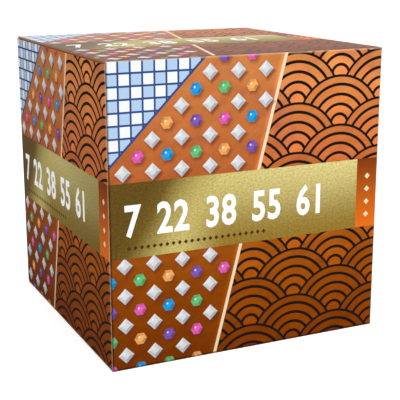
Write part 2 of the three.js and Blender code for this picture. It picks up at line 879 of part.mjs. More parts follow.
function buildTrack() {
  const half = trackLength / 2;
  const rails = [];
  for (const edge of [-1, 1]) {
    const rail = (edge * trackRailSpacing) / 2;
    const guard = (edge * trackSideSpacing) / 2;
    rails.push(rod(vector(-half, rail, 0), vector(half, rail, 0), trackRadius, wireSides));
    rails.push(
      rod(
        vector(-half, guard, trackSideHeight),
        vector(half, guard, trackSideHeight),
        trackRadius,
        wireSides,
      ),
    );
    rails.push(
      rod(
        vector(edge * (half - trackWire), -trackSideSpacing / 2, trackSideHeight),
        vector(edge * (half - trackWire), trackSideSpacing / 2, trackSideHeight),
        trackRadius,
        wireSides,
      ),
    );
  }
  const hoopHalf = trackSideSpacing / 2 + trackWire - weldDepth;
  const hoopFloor = -trackWire + weldDepth;
  for (let index = 0; index < trackHoopCount; index++) {
    const x = -half + trackWire * 2 + ((trackLength - trackWire * 4) * index) / (trackHoopCount - 1);
    const path = roundedPath(
      [
        vector(x, -hoopHalf, trackHoopRise),
        vector(x, -hoopHalf, hoopFloor),
        vector(x, hoopHalf, hoopFloor),
        vector(x, hoopHalf, trackHoopRise),
      ],
      trackHoopBend,
    );
    rails.push(bentRod(path, trackRadius, wireSides, hoopSteps));
  }
  const track = place("ball_track", join(rails), blackPaint);
  track.position.set(0, trackY, trackZ);
  track.rotation.y = -trackSlope;

  for (const [name, side] of [["left", -1], ["right", 1]]) {
    const x = (side * trackPostSpacing) / 2;
    const railUnder = trackZ + x * Math.tan(trackSlope) - trackRadius / Math.cos(trackSlope);
    const slack = (trackPostLength / 2) * Math.tan(trackSlope);
    const postTop = railUnder - slack - pieceGap;
    const post = box(
      vector(x - trackPostLength / 2, trackY - trackPostDepth / 2, rodZ),
      vector(x + trackPostLength / 2, trackY + trackPostDepth / 2, postTop),
    );
    const saddle = rod(
      vector(x - cutOverrun, trackY, rodZ),
      vector(x + cutOverrun, trackY, rodZ),
      standRadius + pieceGap,
      cutSegments,
    );
    place("track_post_" + name, cut(toSolid(post), [saddle]), blackPaint);
  }
}

// The pile's layers: rows a little apart, each ball seated on the three below it
const ballRowStep = (ballRowSpacing * Math.sqrt(3)) / 2;
const ballSeatReach = ballRowSpacing / Math.sqrt(3);
const ballLayerStep = Math.sqrt(ballSeatSpacing ** 2 - ballSeatReach ** 2);

function touching(ball, other) {
  return ball.distanceTo(other) < ballSeatSpacing + weldDistance;
}

// The middles of the balls, filling the cage from its lowest point upwards
function ballMiddles() {
  const inset = ringWire / 2 + ballRadius + ballWallClearance;
  const halfLength = cageHalfLength - inset;
  const radius = cageRadius - inset;
  const found = [];
  const reach = Math.ceil(cageRadius / ballRowSpacing);
  for (let layer = 0; layer <= reach; layer++) {
    const z = -radius + layer * ballLayerStep;
    const shift = layer % 3;
    for (let row = -reach; row <= reach; row++) {
      const y = (row + shift / 3) * ballRowStep;
      for (let column = -reach; column <= reach; column++) {
        const x = (column + (Math.abs(row) % 2) / 2 + shift / 2) * ballRowSpacing;
        if ((x / halfLength) ** 2 + (y * y + z * z) / radius ** 2 <= 1) {
          found.push(vector(x, y, z));
        }
      }
    }
  }
  const height = (middle) => Math.round(middle.z / weldDistance);
  found.sort((a, b) => height(a) - height(b) || a.x ** 2 + a.y ** 2 - b.x ** 2 - b.y ** 2);
  const pile = [found.shift()];
  while (pile.length < ballCount) {
    const next = found.findIndex((ball) => pile.some((other) => touching(ball, other)));
    pile.push(...found.splice(next, 1));
  }
  return pile;
}

// A ball with few facets, whose corners point at its neighbours in the pile
function facetedBall() {
  const corners = [vector(0, 0, ballRadius), vector(0, 0, -ballRadius)];
  const steep = Math.atan2(ballLayerStep, ballSeatReach);
  for (let index = 0; index < 6; index++) {
    const level = (FULL_TURN * index) / 6;
    const turn = level + FULL_TURN / 12;
    const half = index % 2 ? -1 : 1;
    corners.push(vector(ballRadius * Math.cos(level), ballRadius * Math.sin(level), 0));
    corners.push(
      vector(
        ballRadius * Math.cos(steep) * Math.cos(turn),
        ballRadius * Math.cos(steep) * Math.sin(turn),
        half * ballRadius * Math.sin(steep),
      ),
    );
  }
  return new ConvexGeometry(corners);
}

function buildBalls() {
  const ball = toSolid(facetedBall());
  const balls = ballMiddles().map((middle) => ball.translate(middle.toArray()));
  const pile = place("ball_pile", wasm.Manifold.union(balls), ballPlastic);
  pile.position.set(0, hubY, hubZ);
}

// The cards, the calling board and the leaflet stand on edge behind the divider
function buildCards() {
  const deckFront = dividerRear + pieceGap * 2 + bandThickness;
  const cardHeight = lidUnderside - standingZ - cardLidClearance;
  const cards = [];
  for (let index = 0; index < cardCount; index++) {
    const half = cardWidth / 2 - (index % 2) * cardStagger;
    const top = cardHeight - (index % 2) * cardStagger;
    const outline = rectangle(-half, 0, half, top, cardCornerRadius);
    const card = plate(outline, cardThickness, [], cardCornerSegments)
      .rotateX(QUARTER_TURN)
      .translate(0, deckFront + (index + 1) * cardThickness, standingZ);
    cards.push(card);
  }
  place("card_deck", join(cards), cardFace);

  const deckThickness = cardCount * cardThickness;
  const bandHalf = cardWidth / 2 + pieceGap;
  const bandMiddle = standingZ + cardHeight * bandHeightShare;
  const ringOutline = rectangle(
    -bandHalf - bandThickness,
    deckFront - pieceGap - bandThickness,
    bandHalf + bandThickness,
    deckFront + deckThickness + pieceGap + bandThickness,
  );
  const ringHole = rectangle(
    -bandHalf,
    deckFront - pieceGap,
    bandHalf,
    deckFront + deckThickness + pieceGap,
  );
  const band = plate(ringOutline, bandWidth, [ringHole]).translate(0, 0, bandMiddle - bandWidth / 2);
  place("card_band", band, paperWhite);

  const boardFront = deckFront + deckThickness + pieceGap * 2 + bandThickness;
  const boardWidth = 2 * (innerHalfWidth - boardSideClearance);
  const boardPitch = (boardWidth - 2 * boardMargin) / boardColumns;
  const blank = toSolid(
    plate(
      rectangle(-boardWidth / 2, 0, boardWidth / 2, boardHeight, boardCornerRadius),
      boardThickness,
    ).rotateX(QUARTER_TURN),
  );
  const dimples = [];
  for (let row = 0; row < boardRows; row++) {
    for (let column = 0; column < boardColumns; column++) {
      const dimple = new THREE.ConeGeometry(dimpleRadius * 2, dimpleDepth * 2, dimpleSides).translate(
        (column - (boardColumns - 1) / 2) * boardPitch,
        -boardThickness,
        boardHeight / 2 + (row - (boardRows - 1) / 2) * boardRowPitch,
      );
      dimples.push(toSolid(dimple));
    }
  }
  const board = blank.subtract(wasm.Manifold.union(dimples));
  place("calling_board", board, boardPlastic).position.set(0, boardFront + boardThickness, standingZ);

  const leafletFront = boardFront + boardThickness + pieceGap;
  const leafletHeight = lidUnderside - standingZ - leafletLidClearance;
  const leaflet = plate(
    rectangle(-leafletWidth / 2, 0, leafletWidth / 2, leafletHeight),
    leafletThickness,
  ).rotateX(QUARTER_TURN);
  place("rules_leaflet", leaflet, paperWhite).position.set(0, leafletFront + leafletThickness, standingZ);
}

// A moulded rack with one socket for each colour of chip
function buildChips() {
  const socket = chipRadius + pieceGap * 2;
  const pitch = 2 * socket + rackWall;
  const halfWidth = socket + rackWall;
  const halfLength = (pitch * chipStackCount + rackWall) / 2;
  const x = -(innerHalfWidth - rackSideGap - halfWidth);
  const outline = rectangle(-halfWidth, -halfLength, halfWidth, halfLength, rackWall);
  const sockets = [];
  const stackHeight = chipsPerStack * chipThickness;
  for (let index = 0; index < chipStackCount; index++) {
    const y = (index - (chipStackCount - 1) / 2) * pitch;
    sockets.push(
      new THREE.CylinderGeometry(socket, socket, rackHeight, roundSegments)
        .rotateX(QUARTER_TURN)
        .translate(0, y, rackFloor + rackHeight / 2),
    );
    const low = standingZ + rackFloor + pieceGap;
    const stack = turnedAboutX([
      [0, 0],
      [0, chipRadius - chipEdge],
      [chipEdge, chipRadius],
      [stackHeight - chipEdge, chipRadius],
      [stackHeight, chipRadius - chipEdge],
      [stackHeight, 0],
    ]).rotateY(-QUARTER_TURN);
    const mesh = place("chips_" + chipNames[index], stack, paint(chipColours[index], 0.25));
    mesh.position.set(x, y - rackForward, low);
  }
  const rack = place("chip_rack", cut(toSolid(plate(outline, rackHeight)), sockets), blackPlastic);
  rack.position.set(x, -rackForward, standingZ);
}

buildCarton();
buildInserts();
buildDrum();
buildStand();
buildTrack();
buildBalls();
buildCards();
buildChips();

export default game;
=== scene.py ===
"""A boxed bingo set: a printed carton whose lid lifts, and in it a wire cage on its stand,
75 balls, cards, chips and boards. Materials, camera and lamps are in metres, and meshes in
millimetres. Every piece is where the frame has it."""
import functools
import itertools
import json
import math
import random

import bmesh
import bpy
from mathutils import Euler, Matrix, Vector

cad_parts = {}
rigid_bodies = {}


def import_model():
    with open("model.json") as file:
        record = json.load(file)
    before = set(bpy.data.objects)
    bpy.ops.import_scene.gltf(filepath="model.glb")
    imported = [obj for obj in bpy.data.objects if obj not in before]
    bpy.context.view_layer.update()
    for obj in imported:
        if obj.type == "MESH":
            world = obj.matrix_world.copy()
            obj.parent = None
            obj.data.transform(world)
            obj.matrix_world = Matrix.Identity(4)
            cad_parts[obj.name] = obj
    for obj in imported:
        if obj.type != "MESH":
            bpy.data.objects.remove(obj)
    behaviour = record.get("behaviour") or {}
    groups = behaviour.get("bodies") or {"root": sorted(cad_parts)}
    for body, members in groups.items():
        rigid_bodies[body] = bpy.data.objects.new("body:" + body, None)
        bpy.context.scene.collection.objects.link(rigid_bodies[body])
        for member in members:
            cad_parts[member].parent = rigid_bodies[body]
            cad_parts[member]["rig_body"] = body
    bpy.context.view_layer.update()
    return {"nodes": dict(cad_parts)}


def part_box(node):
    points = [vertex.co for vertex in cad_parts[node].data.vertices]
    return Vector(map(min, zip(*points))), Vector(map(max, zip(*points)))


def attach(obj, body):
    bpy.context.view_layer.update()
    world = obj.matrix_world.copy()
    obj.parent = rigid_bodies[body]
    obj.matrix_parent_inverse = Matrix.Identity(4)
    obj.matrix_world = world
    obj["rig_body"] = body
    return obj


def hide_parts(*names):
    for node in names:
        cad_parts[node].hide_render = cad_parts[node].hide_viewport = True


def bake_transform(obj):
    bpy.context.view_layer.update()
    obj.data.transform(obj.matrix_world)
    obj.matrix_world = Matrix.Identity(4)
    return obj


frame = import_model()

MM = 0.001
TURN = 2 * math.pi
REST_PLACE = "rest_place"
EDGE_SOFTNESS = 0.25 * MM
FINISHES = {}


# Colours and the graph of a material

def srgb(red, green, blue):
    """A colour given as it looks on screen, from 0 to 255, as Blender's linear colour."""
    def linear(share):
        return share / 12.92 if share <= 0.04045 else ((share + 0.055) / 1.055) ** 2.4

    return (*(linear(channel / 255) for channel in (red, green, blue)), 1.0)


class Term:
    """A number in a material's graph. Each operation on it makes a Math node."""

    OPERATIONS = {
        "__add__": "ADD", "__radd__": "ADD", "__sub__": "SUBTRACT", "__mul__": "MULTIPLY",
        "__rmul__": "MULTIPLY", "__truediv__": "DIVIDE", "__abs__": "ABSOLUTE",
        "below": "LESS_THAN", "above": "GREATER_THAN", "least": "MINIMUM", "most": "MAXIMUM",
        "floor": "FLOOR", "fract": "FRACT", "sign": "SIGN", "root": "SQRT", "sine": "SINE",
        "angle": "ARCTAN2", "swing": "PINGPONG",
    }

    def __init__(self, graph, socket):
        self.graph = graph
        self.socket = socket

    def operate(self, operation, *others):
        return self.graph.math(operation, self, *others)

    def __rsub__(self, other):
        return self.graph.math("SUBTRACT", other, self)

    def fade(self, low, high):
        """0 up to low, 1 from high on, and smooth between them. Low may be the larger one."""
        values = {"Value": self, "From Min": low, "From Max": high}
        made = self.graph.node("MapRange", values, interpolation_type="SMOOTHSTEP")
        return Term(self.graph, made.outputs["Result"])

    def within(self, limit):
        """1 below the limit, with a soft edge."""
        return self.fade(limit, limit - EDGE_SOFTNESS)

    def past(self, limit):
        """1 above the limit, with a soft edge."""
        return self.fade(limit, limit + EDGE_SOFTNESS)


for name, operation in Term.OPERATIONS.items():
    setattr(Term, name, functools.partialmethod(Term.operate, operation))


def choose(condition, first, second):
    """The first number where the condition is 0, and the second where it is 1."""
    return first + (second - first) * condition


class Graph:
    """Adds nodes to a node tree. Each call makes one node and returns what comes out of it."""

    def __init__(self, tree):
        self.tree = tree

    def wire(self, socket, value):
        """Links a term or an output to the socket, or sets a plain number or colour on it."""
        if isinstance(value, Term):
            value = value.socket
        if isinstance(value, bpy.types.NodeSocket):
            self.tree.links.new(value, socket)
        else:
            socket.default_value = value

    def node(self, kind, values=None, **settings):
        """A node with its settings, and with the values wired to its inputs by number or name."""
        made = self.tree.nodes.new("ShaderNode" + kind)
        for name, value in settings.items():
            setattr(made, name, value)
        for key, value in (values or {}).items():
            self.wire(made.inputs[key], value)
        return made

    def math(self, operation, *values):
        return Term(self, self.node("Math", dict(enumerate(values)), operation=operation).outputs[0])

    def vector(self, *values):
        return self.node("CombineXYZ", dict(enumerate(values))).outputs[0]

    def noise(self, vector, size, detail=2.0, roughness=0.5):
        """Cloudy noise from 0 to 1 whose blots are about as wide as size."""
        values = {"Vector": vector, "Scale": 1 / size, "Detail": detail, "Roughness": roughness}
        return Term(self, self.node("TexNoise", values).outputs[0])

    def mix(self, share, first, second):
        """The first colour where the share is 0, and the second where it is 1."""
        return self.node("Mix", {0: share, 6: first, 7: second}, data_type="RGBA").outputs[2]

    def tone(self, colour, brightness):
        """The colour made lighter or darker by a factor."""
        colour = colour[:3] if isinstance(colour, tuple) else colour
        return self.node("VectorMath", {0: colour, "Scale": brightness}, operation="SCALE").outputs[0]

    def ramp(self, value, stops, interpolation="LINEAR"):
        """A colour by place along the stops, which are (place, red, green, blue)."""
        made = self.node("ValToRGB", {0: value})
        scale = made.color_ramp
        scale.interpolation = interpolation
        while len(scale.elements) < len(stops):
            scale.elements.new(1.0)
        for element, (place, *colour) in zip(scale.elements, stops):
            element.position = place
            element.color = srgb(*colour)
        return made.outputs[0]

    def bump(self, height, depth):
        """The shading normal of a surface that rises by depth where the height is 1."""
        return self.node("Bump", {"Height": height, "Distance": depth, "Strength": 1.0}).outputs[0]


class Material(Graph):
    """One material of the scene, kept by name: its graph, and its shader's sockets by name."""

    def __init__(self, name, **settings):
        FINISHES[name] = bpy.data.materials.new(name)
        FINISHES[name].use_nodes = True
        super().__init__(FINISHES[name].node_tree)
        self.set(**settings)

    def set(self, **settings):
        for name, value in settings.items():
            self.wire(self.tree.nodes["Principled BSDF"].inputs[name.replace("_", " ")], value)

    @functools.cached_property
    def spot(self):
        """The point's place at rest. It comes from an attribute, so that the print stays put on
        a sheet that bends."""
        return self.node("Attribute", attribute_name=REST_PLACE).outputs["Vector"]

    @functools.cached_property
    def place(self):
        """The same place as three terms."""
        return [Term(self, output) for output in self.node("SeparateXYZ", {0: self.spot}).outputs]


# The carton's print, with painted shade and highlights in it: every face has the same sheet, measured from
# its lower left corner

HALF_WIDTH = -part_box("left_panel")[0].x
HALF_DEPTH = -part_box("front_panel")[0].y
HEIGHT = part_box("lid_panel")[1].z
SHEET = 2 * HALF_WIDTH

BAND_LOW = 0.374 * SHEET
BAND_HIGH = 0.62 * SHEET
BAND_END = 0.913 * SHEET
DOTS_UP = 7.0 * MM
DOTS_PITCH = 4.6 * MM
DOTS_MIDDLE = 14 * DOTS_PITCH
DOTS_HALF = 11.5 * DOTS_PITCH
DOT_REACH = 1.7 * MM
END_MARK_REACH = 2.4 * MM
END_MARK_PITCH = 9.6 * MM
END_MARGIN = 7.0 * MM
# Widths of the painted shade along each face's left and bottom edges, and of the painted highlight along its
# right and top edges.
RIM_SHADE_WIDTH = 2.2 * MM
RIM_HIGHLIGHT_WIDTH = 1.8 * MM

FAN_RADIUS = SHEET / 6
FAN_RINGS = 5
FAN_LINE = 0.95 * MM
DIVIDE_LOW = 0.36 * SHEET
DIVIDE_HIGH = 0.62 * SHEET
DIVIDE_LINE = 1.1 * MM

MOTIF_PITCH = SHEET / 10
LOZENGE_REACH = 5.9 * MM
GEM_REACH = 4.1 * MM
SHADOW_DROP = 1.9 * MM
SHADOW_BLUR = 4.4 * MM
SHADOW_DEPTH = 0.7
CORNER_PATCH = 0.34 * SHEET
TILE_PITCH = 8.4 * MM
TILE_LINE = 0.55 * MM
TILE_BORDER = 2.2 * MM

# Light orange at the top to brown at the bottom: partly the print's own tone, partly painted shade under
# light from above.
GROUND_AND_SHADE_STOPS = (
    (0.0, 136, 60, 0), (0.25, 160, 78, 4), (0.38, 180, 92, 20),
    (0.62, 208, 111, 56), (0.82, 226, 132, 68), (1.0, 236, 148, 82),
)
# The gold runs from dark at the left to bright in the middle: painted reflection of the foil on its gold
# colour.
GOLD_AND_REFLECTION_STOPS = (
    (0.0, 94, 72, 26), (0.06, 106, 84, 32), (0.145, 164, 147, 82), (0.24, 200, 186, 114),
    (0.4, 204, 192, 124), (0.7, 211, 198, 131), (1.0, 196, 184, 115),
)
END_STOPS = ((0.0, 228, 112, 28), (1.0, 122, 54, 14))
GEM_COLOURS = ((216, 92, 172), (30, 150, 214), (96, 184, 116), (232, 164, 92), (120, 84, 170))
GLINT_WHITE = srgb(255, 255, 255)
# Darker gold laid over the band's lower right, and to the right on the side faces: painted shade of the foil.
GOLD_PAINTED_SHADE = srgb(138, 112, 42)
PATCH_PURPLE = srgb(164, 84, 84)
SHADOW_RED = srgb(104, 42, 28)
INK_BLACK = srgb(26, 22, 20)
DOT_BROWN = srgb(78, 44, 16)
# Cream ink of the dividing line and the end marks, also used for the painted highlight along the faces' right
# and top edges.
CREAM_INK_AND_HIGHLIGHT = srgb(238, 214, 178)
PEARL_GREY = srgb(226, 229, 232)
TILE_WHITE = srgb(238, 241, 244)
TILE_BLUE = srgb(176, 202, 232)
TILE_EDGE = srgb(46, 74, 130)
WORN_BOARD = srgb(226, 204, 174)
WEAR_REACH = 0.9 * MM
WEAR_RAGGED = 2.4 * MM


def fans(u, v):
    """Overlapping round fans in staggered rows: the distance from the middle of the fan that
    lies on top at this point."""
    rise = FAN_RADIUS / 2
    row = (v / rise).floor() - 1
    top = None
    for behind in (2, 1, 0):
        number = row + behind
        across = (u + number.swing(1.0) * FAN_RADIUS).swing(FAN_RADIUS)
        up = v - number * rise
        reach = (across * across + up * up).root()
        top = choose(reach.below(FAN_RADIUS), top, reach) if top else reach
    return top


def divide_line(v):
    """How far to the right the slanted line lies that parts the motifs from the fans."""
    return v * ((DIVIDE_HIGH - DIVIDE_LOW) / SHEET) + DIVIDE_LOW


def fan_field(g, ground, u, v):
    """Black rings on the fans, a cream line beside them, and a darker ground beyond it."""
    reach = fans(u, v)
    beyond = u - divide_line(v)
    fan_side = beyond.past(0.0)
    ground = g.tone(ground, choose(fan_side, 1.0, 1.1 - reach / FAN_RADIUS * 0.34))
    rings = reach.swing(FAN_RADIUS / FAN_RINGS / 2).within(FAN_LINE + EDGE_SOFTNESS)
    lines = rings.most(reach.past(FAN_RADIUS - FAN_LINE * 2)) * reach.above(FAN_LINE * 2.5)
    colour = g.mix(lines * fan_side, ground, INK_BLACK)
    colour = g.mix(abs(beyond - DIVIDE_LINE).within(DIVIDE_LINE + EDGE_SOFTNESS), colour, CREAM_INK_AND_HIGHLIGHT)
    return g.tone(colour, 1 - beyond.fade(0.0, -SHADOW_BLUR) * 0.3)


def cell(u, v, shift):
    """The point's offset from the middle of its lattice cell, and that middle itself."""
    middles = [((value / MOTIF_PITCH + shift).floor() + (0.5 - shift)) * MOTIF_PITCH for value in (u, v)]
    return u - middles[0], v - middles[1], *middles


def motif(g, ground, colour, reach, cast, size, middle_u, middle_v):
    """A motif on its soft shadow, where it is clear of the fans and of the tiled corner. reach and
    cast are how far the point is from the middle of each. Returns the colour and the motif's mask."""
    before = (middle_u + LOZENGE_REACH).below(divide_line(middle_v))
    here = before * (middle_u - middle_v + SHEET).above(CORNER_PATCH + LOZENGE_REACH)
    shade = cast.fade(size + SHADOW_BLUR / 2, size - SHADOW_BLUR / 2) * here
    body = reach.within(size) * here
    return g.mix(body, g.mix(shade * SHADOW_DEPTH, ground, SHADOW_RED), colour), body


def lozenges(g, ground, u, v):
    """Pale bevelled lozenges in a square lattice."""
    x, y, *middle = cell(u, v, 0.0)
    reach = abs(x) + abs(y)
    cast = abs(x - SHADOW_DROP * 0.7) + abs(y + SHADOW_DROP)
    bevel = y.sign() * 0.13 - x.sign() * 0.09 + 0.74
    table = reach.fade(LOZENGE_REACH * 0.5, LOZENGE_REACH * 0.46)
    glint = (abs(x + 1.4 * MM) + abs(y - 1.4 * MM)).fade(1.5 * MM, 0.6 * MM)
    light = choose(table, bevel, 0.88 + y * 12.0) + glint * 0.12
    return motif(g, ground, g.tone(PEARL_GREY, light), reach, cast, LOZENGE_REACH, *middle)


def gems(g, ground, u, v):
    """Small six-sided cut gems in five colours, in the middles of the lozenges' lattice."""
    def hexagon(across, up):
        return (abs(across) * (math.sqrt(3) / 2) + abs(up) * 0.5).most(abs(up))

    x, y, *middle = cell(u, v, 0.5)
    reach = hexagon(x, y)
    cast = hexagon(x - SHADOW_DROP / 2, y + SHADOW_DROP * 0.8)
    kinds = len(GEM_COLOURS)
    number = middle[0] / MOTIF_PITCH + middle[1] / MOTIF_PITCH * 2
    stops = [(index / kinds, *colour) for index, colour in enumerate(GEM_COLOURS)]
    colour = g.ramp(((number + 0.5) / kinds).fract(), stops, "CONSTANT")
    facet = (y.angle(x) / (TURN / 6)).floor()
    bevel = (facet * 2.2 + 1.0).sine() * 0.22 + 0.86
    table = reach.fade(GEM_REACH * 0.52, GEM_REACH * 0.46)
    glint = (abs(x + 1.0 * MM) + abs(y - 1.1 * MM)).fade(1.3 * MM, 0.4 * MM)
    gem = g.mix(glint * 0.7, g.tone(colour, choose(table, bevel, 1.12)), GLINT_WHITE)
    return motif(g, ground, gem, reach, cast, GEM_REACH, *middle)


def tiles(g, ground, u, v):
    """Small white and pale blue tiles that fill the sheet's upper left corner."""
    down = SHEET - v
    reaches = (CORNER_PATCH, CORNER_PATCH - TILE_BORDER)
    inside, bordered = ((u + down).fade(reach, reach - EDGE_SOFTNESS * 2) for reach in reaches)
    odd = ((u / TILE_PITCH).floor() + (down / TILE_PITCH).floor()).swing(1.0)
    joint = u.swing(TILE_PITCH / 2).least(down.swing(TILE_PITCH / 2)).within(TILE_LINE + EDGE_SOFTNESS)
    tile = g.mix(joint, g.mix(odd, TILE_WHITE, TILE_BLUE), TILE_EDGE)
    return g.mix(inside, ground, g.mix(bordered, TILE_EDGE, tile)), inside


def gold_band(g, u, v, dim, grain):
    """The band's gold with a row of small diamonds, and its orange end with a column of them.
    Its gold carries painted reflection and painted shade of the foil.
    Returns the colour, and 1 on the orange end."""
    sweep = g.noise(g.vector(u, v * 0.4), 55 * MM)
    rise = (v - BAND_LOW) / (BAND_HIGH - BAND_LOW)
    # Painted shade of the foil over the band's lower right, and more painted shade to the right on the side
    # faces.
    painted_shade_lower_right = u.fade(0.18 * SHEET, 0.42 * SHEET) * rise.fade(1.15, 0.0)
    dim = u.fade(0.3 * SHEET, SHEET) * (1 - rise * 0.4) * dim
    # The gold's dark left and bright middle are painted reflection of the foil.
    gold = g.ramp(u / SHEET - rise * 0.15 + (sweep - 0.5) * 0.1, GOLD_AND_REFLECTION_STOPS)
    gold = g.mix(painted_shade_lower_right.most(dim), gold, GOLD_PAINTED_SHADE)
    gold = g.tone(gold, ((grain - 0.5) * 1.4 + 1) * (1 - dim * 0.4))
    row = (abs(v - (BAND_LOW + DOTS_UP)) + u.swing(DOTS_PITCH / 2)).within(DOT_REACH)
    gold = g.mix(row * abs(u - DOTS_MIDDLE).below(DOTS_HALF), gold, DOT_BROWN)
    at_end = u.past(BAND_END)
    column = abs(u - (BAND_END + SHEET) / 2) + (v - BAND_LOW).swing(END_MARK_PITCH / 2)
    clear = v.past(BAND_LOW + END_MARGIN) * v.within(BAND_HIGH - END_MARGIN)
    band = g.mix(at_end, gold, g.ramp(rise, END_STOPS))
    return g.mix(column.within(END_MARK_REACH) * at_end * clear, band, CREAM_INK_AND_HIGHLIGHT), at_end


def print_group():
    """The print as a node group, with painted shade and highlights in its colour: from the place on the sheet
    to colour, gloss and relief.
    """
    tree = bpy.data.node_groups.new("carton_print", "ShaderNodeTree")
    # The third input is the painted shade that darkens the foil to the right on the side faces.
    for way, names in (("INPUT", "Across Up Dim"), ("OUTPUT", "Colour Foil Roughness Height")):
        for name in names.split():
            kind = "NodeSocketColor" if name == "Colour" else "NodeSocketFloat"
            tree.interface.new_socket(name, in_out=way, socket_type=kind)
    g = Graph(tree)
    u, v, dim = (Term(g, socket) for socket in tree.nodes.new("NodeGroupInput").outputs[:3])

    spot = g.vector(u, v)
    blots = g.noise(spot, 38 * MM, 4.0, 0.6)
    pores = g.noise(spot, 1.6 * MM, 3.0, 0.7)
    streaks = g.noise(g.vector(u + v * 0.6, v * 3 - u), 30 * MM, 5.0, 0.65)
    # The ground darkens towards the bottom: partly printed tone, partly painted shade under light from above.
    colour = g.ramp(v / SHEET + (streaks - 0.5) * 0.34, GROUND_AND_SHADE_STOPS)
    colour = g.mix(blots.fade(0.5, 0.78) * v.fade(BAND_LOW, BAND_HIGH) * 0.6, colour, PATCH_PURPLE)
    colour = g.tone(colour, (pores - 0.5) * 0.2 + (streaks - 0.5) * 0.24 + 1.0)
    colour = fan_field(g, colour, u, v)
    raised = 0.0
    for draw in (lozenges, gems, tiles):
        colour, mask = draw(g, colour, u, v)
        raised = mask.most(raised)

    grain = g.noise(g.vector(u * 0.7, v), 1.3 * MM, 2.0, 0.8)
    gold, at_end = gold_band(g, u, v, dim, grain)
    band = v.past(BAND_LOW) * v.within(BAND_HIGH)
    colour = g.mix(band, colour, gold)
    foil = band * (1 - at_end)
    # Painted shade along the face's left and bottom edges, and a painted highlight along its right and top
    # edges, where light catches the creases.
    painted_rim_shade = u.least(v).fade(RIM_SHADE_WIDTH, RIM_SHADE_WIDTH / 3)
    painted_rim_highlight = (SHEET - u.most(v)).fade(RIM_HIGHLIGHT_WIDTH, RIM_HIGHLIGHT_WIDTH / 3)
    colour = g.mix(painted_rim_highlight * 0.3, g.tone(colour, 1 - painted_rim_shade * 0.75), CREAM_INK_AND_HIGHLIGHT)
    roughness = choose(foil, 0.34 + pores * 0.14 - raised * 0.1, 0.26 + grain * 0.3)
    height = choose(foil, pores * 0.6 + blots * 0.3, grain)
    for socket, value in zip(tree.nodes.new("NodeGroupOutput").inputs, (colour, foil, roughness, height)):
        g.wire(socket, value)
    return tree


def edge_wear(g):
    """1 where the print is rubbed off along the carton's edges, in short lines and specks."""
    x, y, z = g.place
    across = HALF_WIDTH - abs(x)
    deep = HALF_DEPTH - abs(y)
    distance = across.least(deep).most(across.most(deep).least(z.least(HEIGHT - z)))
    rub = g.noise(g.spot, 5 * MM, 4.0, 0.7)
    return (distance + (rub - 0.5) * WEAR_RAGGED).fade(WEAR_REACH, 0.0)


def printed(name, across, up, glare=0.28, dim=0.0, **settings):
    """Printed board for one face. across and up are (axis, sign) of the sheet's own directions
    on that face, glare is how metallic its foil is, and the foil's painted shade is how much
    painted shade darkens the foil to the right."""
    g = Material(name, Coat_Weight=0.03, Coat_Roughness=0.1, **settings)
    made = g.node("Group", node_tree=print_tree)
    for socket, (axis, sign) in zip(made.inputs, (across, up)):
        g.wire(socket, g.place[axis] * sign + (0.0 if axis == 2 else HALF_WIDTH))
    g.wire(made.inputs["Dim"], dim)
    g.set(
        Base_Color=g.mix(edge_wear(g) * 0.2, made.outputs["Colour"], WORN_BOARD),
        Metallic=g.math("MULTIPLY", made.outputs["Foil"], glare),
        Roughness=made.outputs["Roughness"],
        Normal=g.bump(made.outputs["Height"], 0.05 * MM),
    )


print_tree = print_group()
printed("printed_front", (0, 1), (2, 1), Specular_IOR_Level=0.0)
printed("printed_back", (0, -1), (2, 1), Specular_IOR_Level=0.0)
# The side faces' foil gets painted shade to the right, and is less metallic.
printed("printed_left", (1, -1), (2, 1), 0.06, 0.8, Specular_IOR_Level=0.0)
printed("printed_right", (1, 1), (2, 1), 0.06, 0.8, Specular_IOR_Level=0.0)
printed("printed_lid", (0, 1), (1, 1), Specular_IOR_Level=0.04)


# Other finishes

LEAFLET_LINE = 4.4 * MM
LEAFLET_COLUMN = 70 * MM
CARD_PITCH = 26 * MM
CARD_LINE = 0.6 * MM
CARD_GRID_FLOOR = 15 * MM


def finish(name, colour, roughness, relief, *layers, stretch=1.0, overlay=None, **settings):
    """A surface with one or two layers of noise, each as (size in millimetres, detail, its own
    roughness, its share in the brightness, its share in the gloss). The first is the grain, which
    stands out by relief and is drawn out along X by stretch. overlay is a mask and its colour."""
    g = Material(name, **settings)
    x, y, z = g.place
    spots = (g.spot if stretch == 1 else g.vector(x * stretch, y, z), g.spot)
    brightness = 1.0
    noises = []
    for spot, (size, detail, rough, in_brightness, in_gloss) in zip(spots, layers):
        noises.append(g.noise(spot, size * MM, detail, rough))
        if in_brightness:
            brightness = (noises[-1] - 0.5) * in_brightness + brightness
        if in_gloss:
            roughness = (noises[-1] - 0.5) * in_gloss + roughness
    colour = g.tone(colour, brightness)
    if overlay:
        mask, tint = overlay
        colour = g.mix(mask(g), colour, tint)
    g.set(Base_Color=colour, Roughness=roughness, Normal=g.bump(noises[0], relief * MM))


def board(name, colour, fibre=0.3):
    """Uncoated board with short fibres and faint clouds."""
    finish(name, colour, 0.86, 0.05, (0.9, 4, 0.75, fibre, 0), (16, 3, 0.6, 0.14, 0), Specular_IOR_Level=0.3)


def plastic(name, colour, roughness, relief=0.03, **settings):
    """Moulded plastic with a fine grain and faint flow marks."""
    finish(name, colour, roughness, relief, (0.6, 2, 0.7, 0, 0.12), (12, 3, 0.55, 0.2, 0.1), **settings)


def paper(name, colour, rules, ink):
    """Paper with printed lines, where the rules' mask is 1."""
    finish(name, colour, 0.72, 0.02, (0.7, 4, 0.75, 0.1, 0), overlay=(rules, ink), Specular_IOR_Level=0.35)


def flecks(g):
    """The dark fibres of kraft board."""
    x, y, z = g.place
    return g.noise(g.vector(x * 0.4, y, z), 1.3 * MM).fade(0.66, 0.74) * 0.25


